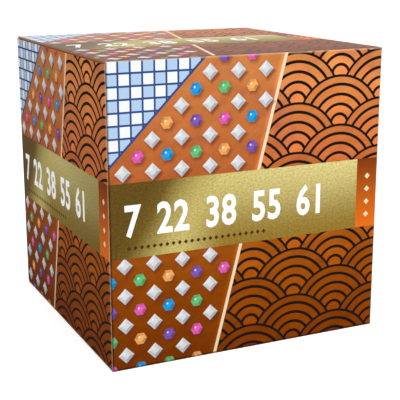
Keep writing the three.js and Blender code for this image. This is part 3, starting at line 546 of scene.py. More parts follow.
def rubbed_spots(g):
    """The few places where paint on wire has worn thin."""
    return g.noise(g.spot, 2.6 * MM, 4.0, 0.7).fade(0.7, 0.73) * 0.5


def reading_rules(g):
    """Two columns of plain grey bars of uneven length, where the rules of play would stand."""
    x, y, z = g.place
    line = (z / LEAFLET_LINE).floor()
    bar = z.swing(LEAFLET_LINE / 2).fade(LEAFLET_LINE * 0.3, LEAFLET_LINE * 0.34)
    length = g.noise(g.vector(0.0, 0.0, line * 0.37), 1.0) * 0.5 + 0.45
    column = (x / LEAFLET_COLUMN).fract()
    return bar * column.fade(0.08, 0.09) * column.fade(length + 0.01, length) * 0.55


def card_rules(g):
    """The black squares of a bingo card."""
    x, y, z = g.place
    up = z - CARD_GRID_FLOOR
    half = CARD_PITCH * 2.5
    inside = abs(x).fade(half + CARD_LINE, half + CARD_LINE / 2) * abs(up - half).fade(half + CARD_LINE, half)
    nearest = (x + CARD_PITCH / 2).swing(CARD_PITCH / 2).least(up.swing(CARD_PITCH / 2))
    return nearest.fade(CARD_LINE, CARD_LINE * 0.7) * inside


finish(
    "printed_plain", srgb(196, 100, 36), 0.41, 0.04, (1.6, 3, 0.7, 0.16, 0.14), (30, 4, 0.6, 0.4, 0),
    overlay=(lambda g: edge_wear(g) * 0.6, WORN_BOARD),
    Specular_IOR_Level=0.0, Coat_Weight=0.03, Coat_Roughness=0.1,
)
finish(
    "kraft_board", srgb(182, 146, 104), 0.9, 0.07, (0.8, 4, 0.8, 0.4, 0), (22, 3, 0.6, 0.16, 0),
    stretch=0.25, overlay=(flecks, srgb(0, 0, 0)), Specular_IOR_Level=0.25,
)
finish(
    "black_paint", srgb(31, 32, 34), 0.36, 0.03, (1.2, 3, 0.6, 0, 0), (9, 3, 0.6, 0.5, 0.2),
    overlay=(rubbed_spots, srgb(92, 90, 88)), Coat_Weight=0.4, Coat_Roughness=0.1,
)
finish(
    "bright_steel", srgb(182, 183, 187), 0.29, 0.01, (0.35, 2, 0.7, 0, 0.12), (7, 3, 0.6, 0.24, 0.14),
    stretch=0.1, Metallic=1.0,
)
board("plain_board", srgb(221, 215, 203))
board("raw_edge", srgb(150, 114, 84), 0.36)
board("band_paper", srgb(238, 234, 222), 0.18)
board("card_face", srgb(240, 240, 235), 0.15)
plastic("black_plastic", srgb(30, 30, 32), 0.42)
plastic("black_rubber", srgb(24, 24, 25), 0.8, 0.08, Specular_IOR_Level=0.3)
plastic("ball_plastic", srgb(232, 234, 234), 0.22, 0.008, Subsurface_Weight=0.1)
plastic("black_ink", srgb(22, 24, 28), 0.5, 0.01)
plastic("white_ink", srgb(250, 250, 248), 0.42, 0.01)
plastic("board_plastic", srgb(38, 40, 46), 0.5, 0.05)
paper("paper_white", srgb(243, 241, 233), reading_rules, srgb(96, 98, 104))
paper("card_print", srgb(244, 244, 240), card_rules, srgb(30, 30, 34))
CHIP_COLOURS = {
    "pink": (214, 62, 152), "blue": (28, 148, 214), "green": (56, 170, 98),
    "orange": (232, 160, 62), "violet": (112, 72, 178),
}
for name, colour in CHIP_COLOURS.items():
    plastic("chip_" + name, srgb(*colour), 0.14, 0.01, Transmission_Weight=0.45, IOR=1.49)


# Meshes: closed bodies gathered into pieces, in millimetres

class Shape:
    """Closed bodies gathered into one mesh, each face with the number of its finish."""

    def __init__(self):
        self.points = []
        self.faces = []
        self.looks = []

    def add(self, body, place=Matrix.Identity(4), look=0):
        points, faces = body
        first = len(self.points)
        self.points += [place @ Vector(point) for point in points]
        self.faces += [[first + corner for corner in face] for face in faces]
        self.looks += look if isinstance(look, list) else [look] * len(faces)
        return self

    def mesh(self, name, crease=35):
        mesh = bpy.data.meshes.new(name)
        mesh.from_pydata([point * MM for point in self.points], [], self.faces)
        mesh.polygons.foreach_set("material_index", self.looks)
        gather = bmesh.new()
        gather.from_mesh(mesh)
        bmesh.ops.remove_doubles(gather, verts=gather.verts, dist=0.001 * MM)
        bmesh.ops.recalc_face_normals(gather, faces=gather.faces)
        gather.to_mesh(mesh)
        gather.free()
        return smoothed(mesh, crease)

    def piece(self, name, finishes, nodes="", crease=35, **where):
        return settle(name, self.mesh(name, crease), finishes, nodes, **where)


def smoothed(mesh, crease=35):
    """The mesh shaded smooth, with the edges sharp that bend by more than crease degrees."""
    mesh.shade_smooth()
    mesh.set_sharp_from_angle(angle=math.radians(crease))
    return mesh


def settle(name, mesh, finishes, nodes, slot=None, body=None, bend=None):
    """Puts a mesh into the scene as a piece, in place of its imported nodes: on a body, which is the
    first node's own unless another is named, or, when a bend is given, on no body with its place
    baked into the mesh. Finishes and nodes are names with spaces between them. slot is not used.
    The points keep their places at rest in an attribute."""
    finishes, nodes = finishes.split(), nodes.split()
    for finish_name in finishes:
        mesh.materials.append(FINISHES[finish_name])
    places = [0.0] * (3 * len(mesh.vertices))
    mesh.vertices.foreach_get("co", places)
    mesh.attributes.new(REST_PLACE, "FLOAT_VECTOR", "POINT").data.foreach_set("vector", places)
    piece = bpy.data.objects.new(name, mesh)
    bpy.context.scene.collection.objects.link(piece)
    if bend:
        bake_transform(piece)
    else:
        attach(piece, body or frame["nodes"][nodes[0]]["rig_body"])
    if nodes:
        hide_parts(*nodes)
    slot or finishes[0]
    return piece


def single(name, finishes, nodes, body, place=Matrix.Identity(4), crease=35):
    """A piece of one body."""
    return Shape().add(body, place).piece(name, finishes, nodes, crease)


def spread(start, end, steps):
    """The numbers from start to end in even steps."""
    return [start + (end - start) * step / steps for step in range(steps + 1)]


def skin(rings, loop=False):
    """A closed body over rings of equally many points: capped at its ends, or joined round."""
    count = len(rings[0])
    points = [point for ring in rings for point in ring]
    faces = []
    for index in range(len(rings) if loop else len(rings) - 1):
        here = index * count
        there = (index + 1) % len(rings) * count
        for corner in range(count):
            after = (corner + 1) % count
            faces.append([here + corner, here + after, there + after, there + corner])
    if not loop:
        faces += [list(range(count - 1, -1, -1)), list(range(len(points) - count, len(points)))]
    return points, faces


def circle(radius, sides):
    return [(radius * math.cos(TURN * i / sides), radius * math.sin(TURN * i / sides)) for i in range(sides)]


def lathe(profile, sides=40):
    """A body turned about Z. The profile is (radius, height) pairs, from the axis to the axis,
    or closed on itself. A ring on the axis merges into one point when the mesh is made."""
    rings = [[(x, y, height) for x, y in circle(radius, sides)] for radius, height in profile]
    return skin(rings, profile[0][0] > 0)


def mirrored(half, length):
    """A turned profile of this length, from its lower half."""
    return [*half, *((radius, length - height) for radius, height in reversed(half))]


def arc(middle, radius, start, end, steps=6):
    """(x, y) points of an arc, its angles in degrees."""
    angles = [math.radians(angle) for angle in spread(start, end, steps)]
    return [(middle[0] + radius * math.cos(angle), middle[1] + radius * math.sin(angle)) for angle in angles]


def tube(path, radius, sides=12, loop=False):
    """A round wire along a path, its frame carried along without twist. Open ends are domed."""
    path = [Vector(point) for point in path]
    last = len(path) - 1
    rings = []
    side = None
    for index, point in enumerate(path):
        before = path[index - 1] if loop or index else point
        after = path[(index + 1) % len(path)] if loop or index < last else point
        ahead = (after - before).normalized()
        side = side or ahead.orthogonal()
        side = (side - ahead * side.dot(ahead)).normalized()
        whole = [side * x + ahead.cross(side) * y for x, y in circle(radius, sides)]
        sections = [(1.0, 0.0)]
        if not loop and index == 0:
            sections = [(0.4, -0.46), (0.82, -0.3), *sections]
        elif not loop and index == last:
            sections = [*sections, (0.82, 0.3), (0.4, 0.46)]
        for share, rise in sections:
            rings.append([point + offset * share + ahead * (radius * rise) for offset in whole])
    return skin(rings, loop)


def rod(start, end, radius, sides=14):
    return tube([start, end], radius, sides)


def turned_corner(before, here, after, reach, steps):
    """A curve round the corner at here, from reach before it to reach after it."""
    back = (before - here).normalized() * reach
    ahead = (after - here).normalized() * reach
    return [here + back * (1 - share) ** 2 + ahead * share ** 2 for share in spread(0, 1, steps)]


def bent(points, bend, steps=8):
    """Straight stretches through the points, with each corner rounded off."""
    points = [Vector(point) for point in points]
    path = [points[0]]
    for before, here, after in zip(points, points[1:], points[2:]):
        path += turned_corner(before, here, after, bend, steps)
    return path + [points[-1]]


def rounded(corners, steps=6):
    """An outline through (x, y, radius) corners, counter-clockwise, each corner rounded."""
    spots = [Vector((x, y)) for x, y, radius in corners]
    outline = []
    for index, here in enumerate(spots):
        radius = corners[index][2]
        after = spots[(index + 1) % len(spots)]
        outline += turned_corner(spots[index - 1], here, after, radius, steps) if radius else [here]
    return outline


def rectangle(half_width, low, high, radius=0.0, steps=6):
    lower = [(-half_width, low, radius), (half_width, low, radius)]
    return rounded([*lower, (half_width, high, radius), (-half_width, high, radius)], steps)


def drawn_in(outline, distance):
    """A counter-clockwise outline drawn in by a distance."""
    made = []
    for index, here in enumerate(outline):
        into = (here - outline[index - 1]).normalized()
        out_of = (outline[(index + 1) % len(outline)] - here).normalized()
        across = Vector((-into.y - out_of.y, into.x + out_of.x)).normalized()
        made.append(here + across * (distance / max(0.5, across.dot(Vector((-into.y, into.x))))))
    return made


def slab(outline, thickness, edge):
    """A sheet on z = 0 with the outline's shape and softened edges. Its last two faces are its
    bottom and its top."""
    outline = [Vector(point) for point in outline]
    inner = drawn_in(outline, edge)
    levels = ((inner, 0.0), (outline, edge), (outline, thickness - edge), (inner, thickness))
    return skin([[(x, y, z) for x, y in ring] for ring, z in levels])


def at(point):
    return Matrix.Translation(Vector(point))


def axes(x, y, z, origin=(0, 0, 0)):
    """The matrix that carries a body's own X, Y and Z to these directions, at this origin."""
    return at(origin) @ Matrix((x, y, z)).transposed().to_4x4()


def pointing_x(origin, sign=1):
    """Carries a body's own Z axis to +X, or to -X for a sign of -1."""
    return axes((0, 0, -sign), (0, 1, 0), (sign, 0, 0), origin)


def facing_front(origin):
    """Stands a flat body up, with its own Z axis to the front."""
    return axes((1, 0, 0), (0, 0, 1), (0, -1, 0), origin)


def facing_back(origin):
    """Stands a flat body up and mirrors it, with its own Z axis to the back."""
    return axes((1, 0, 0), (0, 0, 1), (0, 1, 0), origin)


def carve(blank, cutter):
    """The mesh of a shape less the cutter's bodies."""
    holders = [bpy.data.objects.new("carving", shape.mesh("carving")) for shape in (blank, cutter)]
    for holder in holders:
        bpy.context.scene.collection.objects.link(holder)
    cut = holders[0].modifiers.new("cut", "BOOLEAN")
    cut.object = holders[1]
    done = bpy.data.meshes.new_from_object(holders[0].evaluated_get(bpy.context.evaluated_depsgraph_get()))
    for holder in holders:
        bpy.data.objects.remove(holder)
    return smoothed(done)


@functools.cache
def figures(text, weight, spacing):
    """Plain numbers as closed flat bodies: 1 high and 1 thick, their middle at the origin."""
    curve = bpy.data.curves.new("figures", "FONT")
    curve.body = text
    curve.offset = weight
    curve.space_word = spacing
    curve.space_character = 1 + weight * 2.5
    curve.extrude = 0.5
    curve.resolution_u = 3
    holder = bpy.data.objects.new("figures", curve)
    mesh = bpy.data.meshes.new_from_object(holder)
    points = [vertex.co.copy() for vertex in mesh.vertices]
    faces = [list(face.vertices) for face in mesh.polygons]
    bpy.data.objects.remove(holder)
    low, high = (Vector([pick(values) for values in zip(*points)]) for pick in (min, max))
    middle = (low + high) / 2
    scale = 1 / (high.y - low.y)
    return [((p.x - middle.x) * scale, (p.y - middle.y) * scale, p.z - middle.z) for p in points], faces


def figure_body(text, height, thickness, narrow=1.0, weight=0.015, spacing=1.0):
    """Plain numbers of a height and thickness, standing on z = 0."""
    points, faces = figures(text, weight, spacing)
    return [(x * height * narrow, y * height, (z + 0.5) * thickness) for x, y, z in points], faces


def softened(node, finishes, slot, look):
    """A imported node's own shape with its edges softened, as a piece. look gives a face's finish
    from the way the face looks."""
    gather = bmesh.new()
    gather.from_mesh(frame["nodes"][node].data)
    bmesh.ops.remove_doubles(gather, verts=gather.verts, dist=0.002 * MM)
    bmesh.ops.dissolve_limit(gather, angle_limit=math.radians(1), verts=gather.verts, edges=gather.edges)
    gather.normal_update()
    for face in gather.faces:
        face.material_index = look(face.normal)
        face.smooth = True
    mesh = bpy.data.meshes.new(node + "_board")
    gather.to_mesh(mesh)
    gather.free()
    bevel = settle(node + "_board", mesh, finishes, node, slot).modifiers.new("soft_edges", "BEVEL")
    bevel.width = 0.2 * MM
    bevel.segments = 2
    bevel.angle_limit = math.radians(35)


def box_of(node):
    """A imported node's lowest and highest corners, in millimetres."""
    return [Vector(corner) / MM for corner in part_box(node)]


def middle_of(node):
    low, high = box_of(node)
    return (low + high) / 2


# The carton: a sleeve of four walls, and flaps that bend at their creases

lid_low, lid_high = box_of("lid_panel")
wall_low, wall_high = box_of("left_panel")
PRINT_SKIN = 0.06
WALL_OUT = HALF_WIDTH / MM - PRINT_SKIN
LID_TOP = HEIGHT / MM - PRINT_SKIN
BOARD = lid_high.z - lid_low.z
SOFT_EDGE = 0.25
FRONT_DROP = 0.2
CREASE_RADIUS = 1.6
CREASE_STEPS = 8
TIP_STEPS = 6
CREASE_LAP = 3.0
CREASE_LOW = wall_high.z - 2.7
CREASE_INSET = 0.9
CREASE_CLEAR = CREASE_RADIUS + 1
FLAP_CUT = 0.3
WALL_FLAT = WALL_OUT - CREASE_RADIUS - FLAP_CUT
TUCK_LEAN = math.radians(8)
TUCK_CORNER = 10
DUST_FRONT_TAPER = math.radians(4)
DUST_REAR_TAPER = math.radians(33)
DUST_CORNER = 5

CARTON_FINISHES = (
    "printed_front printed_right printed_back printed_left printed_lid printed_plain plain_board raw_edge"
)
FRONT, RIGHT, BACK, LEFT, LID, PLAIN, INSIDE, EDGE = range(8)

NUMBERS = "7 22 38 55 61"
NUMBERS_MIDDLE = 86
NUMBERS_RISE = 0.5
NUMBER_HEIGHT = 23
NUMBER_NARROW = 0.78
NUMBER_WEIGHT = 0.027
NUMBER_SPACING = 1.58
INK_THICKNESS = 0.3
INK_PROUD = 0.05


def board_sheet(name, node, sections, loop=False, place=Matrix.Identity(4), bend=None):
    """A piece of board through its sections. Each is (point of the printed side, way out, low and
    high edge, how soft these are, look of the printed side that follows)."""
    rings = []
    looks = []
    for point, out, low, high, edge, look in sections:
        inner = point - out * BOARD
        ring = (
            (point, low + edge), (point, high - edge), (point - out * edge, high), (inner + out * edge, high),
            (inner, high - edge), (inner, low + edge), (inner + out * edge, low), (point - out * edge, low),
        )
        rings.append([(flat.x, flat.y, along) for flat, along in ring])
        looks += [look, EDGE, EDGE, EDGE, INSIDE, EDGE, EDGE, EDGE]
    if not loop:
        looks[-8:] = [EDGE, EDGE]
    sheet = Shape().add(skin(rings, loop), place, looks)
    sheet.piece(name, CARTON_FINISHES, node, slot="printed_board", bend=bend)


def build_walls():
    """The sleeve, counter-clockwise from above. Side walls end where their flaps' creases begin."""
    reach = WALL_OUT - CREASE_RADIUS
    side = (wall_low.z, CREASE_LOW, 0.0)
    walls = ((FRONT, 0.0, LID_TOP, SOFT_EDGE), (RIGHT, *side), (BACK, *side), (LEFT, *side))
    sections = []
    for index, corner in enumerate(((-1, -1), (1, -1), (1, 1), (-1, 1))):
        low, high = (0.0, LID_TOP - FRONT_DROP) if corner[1] < 0 else (wall_low.z, wall_high.z)
        for step, angle in enumerate(spread(180, 270, CREASE_STEPS)):
            turn = math.radians(angle + 90 * index)
            out = Vector((math.cos(turn), math.sin(turn)))
            point = Vector(corner) * reach + out * CREASE_RADIUS
            look = walls[index - 1 if step < CREASE_STEPS / 2 else index][0]
            sections.append((point, out, low, high, SOFT_EDGE, look))
        look, low, high, edge = walls[index]
        ahead = Vector((-out.y, out.x))
        for distance in (FLAP_CUT, 2 * reach - FLAP_CUT):
            sections.append((point + ahead * distance, out, low, high, edge, look))
    board_sheet("carton_walls", "front_panel back_panel left_panel right_panel", sections, loop=True)


def folded_sheet(start, corner, way, stations, first, looks):
    """Sections of a sheet that runs from start to the crease at corner, and on along way. Stations
    are (distance from the corner, low, high) of its two side edges, first is (low, high) before
    the crease, and looks are the printed sides before and after it."""
    start, corner, way = Vector(start), Vector(corner), Vector(way).normalized()
    before = (corner - start).normalized()
    turning = before.angle(way)
    outward = Vector((before.y, -before.x))
    if outward.dot(way) > 0:
        outward = -outward
    centre = corner - before * (CREASE_RADIUS * math.tan(turning / 2)) - outward * CREASE_RADIUS
    sections = [(start, outward, *first, SOFT_EDGE, looks[0])]
    for step, angle in enumerate(spread(0, turning, CREASE_STEPS)):
        out = outward * math.cos(angle) + before * math.sin(angle)
        look = looks[0] if step < CREASE_STEPS / 2 else looks[1]
        sections.append((centre + out * CREASE_RADIUS, out, *first, SOFT_EDGE, look))
    for distance, low, high in stations:
        sections.append((corner + way * distance, out, low, high, SOFT_EDGE, looks[1]))
    return sections


def flap_stations(near, length, low, high, radius):
    """Where a flap's side edges lie, up to its rounded tip. low and high are each the edge's
    place at the crease and how much it moves for each millimetre along the flap."""
    stations = [(near, low[0] + low[1] * near, high[0] + high[1] * near)]
    for angle in spread(0, math.pi / 2, TIP_STEPS):
        distance = length - radius * (1 - math.sin(angle))
        cut = radius * (1 - math.cos(angle))
        stations.append((distance, low[0] + low[1] * distance + cut, high[0] + high[1] * distance - cut))
    return stations


def crease_bend(before, after, start, end):
    """A bend between two bodies, from a little after start to a little before end."""
    start, end = Vector(start), Vector(end)
    inset = (end - start).normalized() * CREASE_INSET
    return before, after, (start + inset) * MM, (end - inset) * MM


def build_flaps():
    """The lid, its tuck flap and the two dust flaps, each one sheet across its crease."""
    section_yz = axes((0, 1, 0), (0, 0, 1), (1, 0, 0))
    wall_start = (WALL_OUT, CREASE_LOW)
    walls_flat = (-WALL_FLAT, WALL_FLAT)
    half = -lid_low.x
    front = lid_low.y
    stations = [(CREASE_CLEAR, -half, half), (WALL_OUT - front - CREASE_LAP, -half, half)]
    sections = folded_sheet(wall_start, (WALL_OUT, LID_TOP), (-1, 0), stations, walls_flat, (BACK, LID))
    bend = crease_bend("root", "lid", (0, *wall_start), (0, WALL_OUT - 3, LID_TOP))
    board_sheet("lid_board", "lid_panel", sections, False, section_yz, bend)

    tuck_low, tuck_high = box_of("lid_tuck_flap")
    length = (LID_TOP - tuck_low.z) / math.cos(TUCK_LEAN)
    stations = flap_stations(CREASE_CLEAR, length, (-tuck_high.x, 0), (tuck_high.x, 0), TUCK_CORNER)
    way = (math.sin(TUCK_LEAN), -math.cos(TUCK_LEAN))
    start = (front + CREASE_LAP, LID_TOP)
    sections = folded_sheet(start, (front, LID_TOP), way, stations, (-half, half), (LID, PLAIN))
    bend = crease_bend("lid", "tuck_flap", (0, *start), (0, front + 0.4, LID_TOP - 3.4))
    board_sheet("tuck_board", "lid_tuck_flap", sections, False, section_yz, bend)

    for side, sign, look in (("left", -1, LEFT), ("right", 1, RIGHT)):
        low, high = box_of("dust_flap_" + side)
        tip, near = sorted((abs(low.x), abs(high.x)))
        front_edge = (low.y, math.tan(DUST_FRONT_TAPER))
        rear_edge = (high.y, -math.tan(DUST_REAR_TAPER))
        stations = flap_stations(WALL_OUT - near, WALL_OUT - tip, front_edge, rear_edge, DUST_CORNER)
        corner = (WALL_OUT, wall_high.z)
        sections = folded_sheet(wall_start, corner, (-1, 0), stations, walls_flat, (look, PLAIN))
        start, end = (sign * WALL_OUT, 0, CREASE_LOW), (sign * (WALL_OUT - 2.4), 0, wall_high.z)
        section_xz = axes((sign, 0, 0), (0, 0, 1), (0, 1, 0))
        bend = crease_bend("root", "dust_" + side, start, end)
        board_sheet("dust_board_" + side, "dust_flap_" + side, sections, False, section_xz, bend)


def build_flat_boards():
    """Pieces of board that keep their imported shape. Faces that look the outer way are printed
    plain, the others along that axis are bare, and the narrow ones are cut edges."""
    for node, outer in (
        ("glue_flap", (-1, 0, 0)), ("bottom_panel", (0, 0, -1)), ("bottom_tuck_flap", (0, -1, 0)),
        ("bottom_dust_flap_left", (0, 0, -1)), ("bottom_dust_flap_right", (0, 0, -1)),
    ):
        def look(normal, outer=Vector(outer)):
            facing = normal.dot(outer)
            return EDGE if abs(facing) < 0.6 else PLAIN if facing > 0 else INSIDE

        softened(node, CARTON_FINISHES, "printed_board", look)
    for node in ("floor_pad", "card_divider"):
        softened(node, "kraft_board", "kraft_board", lambda normal: 0)


def build_band_numbers():
    """White numbers on the gold band of each face, a hair above the print."""
    up = (BAND_LOW + (BAND_HIGH - BAND_LOW) * NUMBERS_RISE) / MM
    across = NUMBERS_MIDDLE - WALL_OUT
    sink = INK_THICKNESS - INK_PROUD
    body = figure_body(NUMBERS, NUMBER_HEIGHT, INK_THICKNESS, NUMBER_NARROW, NUMBER_WEIGHT, NUMBER_SPACING)
    front = facing_front((across, sink - WALL_OUT, up))
    sides = (("front", 0), ("left", -90), ("right", 90), ("back", 180))
    places = [(side, "root", Matrix.Rotation(math.radians(angle), 4, "Z") @ front) for side, angle in sides]
    places.append(("lid", "lid", at((across, up - WALL_OUT, LID_TOP - sink))))
    for side, body_name, place in places:
        numbers = Shape().add(body, place)
        numbers.piece("band_numbers_" + side, "white_ink", slot="printed_board", body=body_name)


# The ball cage and its crank, which turn with the drum

HUB = middle_of("hub_left")
HUB.x = 0.0
CAGE_HALF_LENGTH = 62
CAGE_RADIUS = 72
RIM_SPACING = 3
RIM_WIRE = 2.2
RIM_LATITUDE = math.asin(RIM_SPACING / 2 / CAGE_HALF_LENGTH)
WIRE = 2
LATITUDES = spread(RIM_LATITUDE, math.radians(75), 7)
MERIDIANS = 6
MERIDIAN_END = math.radians(82)
MERIDIAN_OFFSET = 1.3
MERIDIAN_STEPS = 22
RING_STEPS = 88
BEAD_ANGLES = [math.radians(degrees) for degrees in (-55, -20, 20, 55)]
CROSSING_BEAD = 1.25
FRAME_BEAD = 1.3
GAP = 0.3
CLIPS = 3
CLIP_AZIMUTH = math.radians(75)
CLIP_WALL = 0.8
CLIP_LENGTH = 6
CLIP_CORNER = 0.5
CLIP_EDGE = 0.15
DOOR_AZIMUTH = math.radians(35)
DOOR_OPENING = 22
DOOR_OVERLAP = 1.5
BAR_LIFT = 1.4
PLATE = 1
PLATE_EDGE = 0.2
PLATE_FLOOR = 2.8
DOOR_CORNER = 1.5
HINGE_CORNER = 1.0
PIN_WIRE = 1.6
PIN_BORE = 1.1
PIN_ACROSS = 14.6
PIN_LIFT = 3.3
BARREL_RADIUS = 2.0
BARREL_LENGTH = 9
BARREL_EDGE = [(PIN_BORE, 0), (BARREL_RADIUS - PLATE_EDGE, 0), (BARREL_RADIUS, PLATE_EDGE)]
LUG_WIDTH = 2
LUG_POST = 0.9
DOOR_KNOB = 5
HUB_PLATE = 2
HUB_RADIUS = 16
HUB_EDGE = 0.4
HUB_FILLET = 1.2
SLEEVE_RADIUS = 5.5
HUB_PLATE_X = box_of("hub_right")[0].x
HUB_END = box_of("hub_right")[1].x
BEARING_END = box_of("bearing_right")[1].x
AXLE = 2.5
AXLE_BORE = 2.8
AXLE_START = HUB_PLATE_X - 4
AXLE_END = BEARING_END + 3
CRANK_BEND = 5
KNOB_OUTLINE = (
    (0.0, 4.2), (0.03, 4.6), (0.15, 4.7), (0.28, 5.2), (0.42, 6.1), (0.56, 6.5), (0.7, 6.45),
    (0.84, 5.9), (0.95, 4.9), (1.0, 4.3),
)


def cage_point(side, latitude, azimuth, offset=0.0):
    """A point of the cage's round surface, moved out along its normal."""
    normal = Vector((math.sin(latitude) / CAGE_HALF_LENGTH, math.cos(latitude) / CAGE_RADIUS)).normalized()
    along = CAGE_HALF_LENGTH * math.sin(latitude) + normal.x * offset
    out = CAGE_RADIUS * math.cos(latitude) + normal.y * offset
    return HUB + Vector((side * along, -out * math.cos(azimuth), out * math.sin(azimuth)))


def cage_ring(side, latitude, start=0.0, sweep=TURN):
    steps = round(RING_STEPS * sweep / TURN * math.cos(latitude)) + 8
    ring = [cage_point(side, latitude, azimuth) for azimuth in spread(start, start + sweep, steps)]
    return ring[:-1] if sweep == TURN else ring


def bead(radius, flatness=1.0):
    """A small round blob of weld metal."""
    rise = radius * flatness
    sides = [(radius * math.cos(angle), rise * math.sin(angle)) for angle in BEAD_ANGLES]
    return lathe([(0, -rise), *sides, (0, rise)], 8)


def cage_half(side):
    """One half's rings and meridians, with a bead of weld at each crossing."""
    half = Shape()
    for latitude in LATITUDES:
        radius = (RIM_WIRE if latitude == RIM_LATITUDE else WIRE) / 2
        if side > 0 and latitude == LATITUDES[1]:
            gap = math.asin(DOOR_OPENING / 2 / (CAGE_RADIUS * math.cos(latitude)))
            half.add(tube(cage_ring(side, latitude, DOOR_AZIMUTH + gap, TURN - 2 * gap), radius, 10))
        else:
            half.add(tube(cage_ring(side, latitude), radius, 10, True))
    for index in range(MERIDIANS):
        azimuth = DOOR_AZIMUTH + TURN * (index + 0.5) / MERIDIANS
        steps = spread(RIM_LATITUDE, MERIDIAN_END, MERIDIAN_STEPS)
        path = [cage_point(side, latitude, azimuth, MERIDIAN_OFFSET) for latitude in steps]
        half.add(tube(path, WIRE / 2, 10))
        for latitude in LATITUDES:
            half.add(bead(CROSSING_BEAD), at(cage_point(side, latitude, azimuth, MERIDIAN_OFFSET / 2)))
    return half


def build_rim_clip(index):
    """A spring clip that holds the two rim wires, its lips turned in below them."""
    inner = RIM_SPACING / 2 + RIM_WIRE / 2 + GAP
    outer = inner + CLIP_WALL
    lip = inner - CLIP_WALL
    depth = RIM_WIRE / 2 + GAP
    foot = depth + CLIP_WALL
    right = [
        (inner, depth), (inner, -depth), (lip, -depth), (lip, -foot), (outer - CLIP_CORNER, -foot),
        (outer, CLIP_CORNER - foot), (outer, foot - CLIP_CORNER), (outer - CLIP_CORNER, foot),
    ]
    azimuth = CLIP_AZIMUTH + TURN * index / CLIPS
    along = Vector((1, 0, 0))
    out = Vector((0, -math.cos(azimuth), math.sin(azimuth)))
    across = along.cross(out)
    middle = HUB + out * (CAGE_RADIUS * math.cos(RIM_LATITUDE)) - across * (CLIP_LENGTH / 2)
    clip = slab([*right, *((-x, y) for x, y in reversed(right))], CLIP_LENGTH, CLIP_EDGE)
    place = axes(along, out, across, middle)
    single(f"rim_clip_sprung_{index + 1}", "bright_steel", f"rim_clip_{index + 1}", clip, place)


def build_cage():
    plate_end = HUB_PLATE_X + HUB_PLATE
    fillet = arc((SLEEVE_RADIUS + HUB_FILLET, 0), HUB_FILLET, 90, 180, 4)
    hub = lathe([
        (AXLE_BORE, HUB_PLATE_X), (HUB_RADIUS - HUB_EDGE, HUB_PLATE_X), (HUB_RADIUS, HUB_PLATE_X + HUB_EDGE),
        (HUB_RADIUS, plate_end - HUB_EDGE), (HUB_RADIUS - HUB_EDGE, plate_end),
        *((x, plate_end + HUB_FILLET - y) for x, y in fillet),
        (SLEEVE_RADIUS, HUB_END - HUB_EDGE), (SLEEVE_RADIUS - HUB_EDGE, HUB_END), (AXLE_BORE, HUB_END),
    ], 48)
    for name, side in (("left", -1), ("right", 1)):
        half = cage_half(side)
        if side > 0:
            add_door_frame(half)
        half.piece("cage_wires_" + name, "black_paint", "cage_" + name, 50)
        single("hub_turned_" + name, "black_paint", "hub_" + name, hub, pointing_x(HUB, side))
    for index in range(CLIPS):
        build_rim_clip(index)


def door_place():
    """The door's own frame: X from the rim towards the pole, Y round the cage and Z outwards."""
    across = Vector((0, math.sin(DOOR_AZIMUTH), math.cos(DOOR_AZIMUTH)))
    inner, outer = (cage_point(1, latitude, DOOR_AZIMUTH) for latitude in (LATITUDES[0], LATITUDES[2]))
    along = (outer - inner).normalized()
    out = along.cross(across)
    drop = CAGE_RADIUS - math.sqrt(CAGE_RADIUS ** 2 - (DOOR_OPENING / 2) ** 2)
    return axes(along, across, out, (inner + outer) / 2 - out * drop), (outer - inner).length


def add_door_frame(half):
    """The door's two side wires, and the two lugs that hold its pin."""
    place, length = door_place()
    for side in (-1, 1):
        y = side * DOOR_OPENING / 2
        half.add(rod((-length / 2, y, BAR_LIFT), (length / 2, y, BAR_LIFT), RIM_WIRE / 2, 12), place)
        for end in (-1, 1):
            half.add(bead(FRAME_BEAD), place @ at((end * length / 2, y, BAR_LIFT / 2)))
    for low in (-BARREL_LENGTH / 2 - GAP - LUG_WIDTH, BARREL_LENGTH / 2 + GAP):
        middle = low + LUG_WIDTH / 2
        half.add(lathe(mirrored(BARREL_EDGE, LUG_WIDTH), 24), place @ pointing_x((low, PIN_ACROSS, PIN_LIFT)))
        top = (middle, PIN_ACROSS - 0.4, PIN_LIFT - BARREL_RADIUS + 0.5)
        half.add(rod((middle, DOOR_OPENING / 2, BAR_LIFT), top, LUG_POST, 10), place)


def build_door():
    place, length = door_place()
    free = -(DOOR_OPENING / 2 + RIM_WIRE / 2 + DOOR_OVERLAP)
    hinge = PIN_ACROSS - BARREL_RADIUS - GAP
    neck = PIN_ACROSS - 1.4
    side, barrel = length / 2, BARREL_LENGTH / 2
    outline = rounded([
        (-side, free, DOOR_CORNER), (side, free, DOOR_CORNER), (side, hinge, HINGE_CORNER),
        (barrel, hinge, 0), (barrel, neck, 0), (-barrel, neck, 0), (-barrel, hinge, 0),
        (-side, hinge, HINGE_CORNER),
    ], 4)
    door = Shape().add(slab(outline, PLATE, PLATE_EDGE), place @ at((0, 0, PLATE_FLOOR)))
    barrel_place = place @ pointing_x((-barrel, PIN_ACROSS, PIN_LIFT))
    door.add(lathe(mirrored(BARREL_EDGE, BARREL_LENGTH), 28), barrel_place)
    door.piece("door_plate", "bright_steel", "cage_door")

    reach = barrel + GAP * 2 + LUG_WIDTH
    pin = rod((-reach, PIN_ACROSS, PIN_LIFT), (reach, PIN_ACROSS, PIN_LIFT), PIN_WIRE / 2)
    single("door_pin", "bright_steel", "door_hinge_pin", pin, place)

    foot = PLATE_FLOOR + PLATE + 0.05
    knob = lathe([
        (0, foot), (2.2, foot), (2.2, foot + 0.4), (1.5, foot + 0.7), (1.4, foot + 2.2),
        *arc((2.2, foot + 3.6), 0.9, -70, 80), (0, foot + DOOR_KNOB),
    ], 28)
    single("door_knob_turned", "bright_steel", "door_knob", knob, place @ at((0, free / 2, 0)))


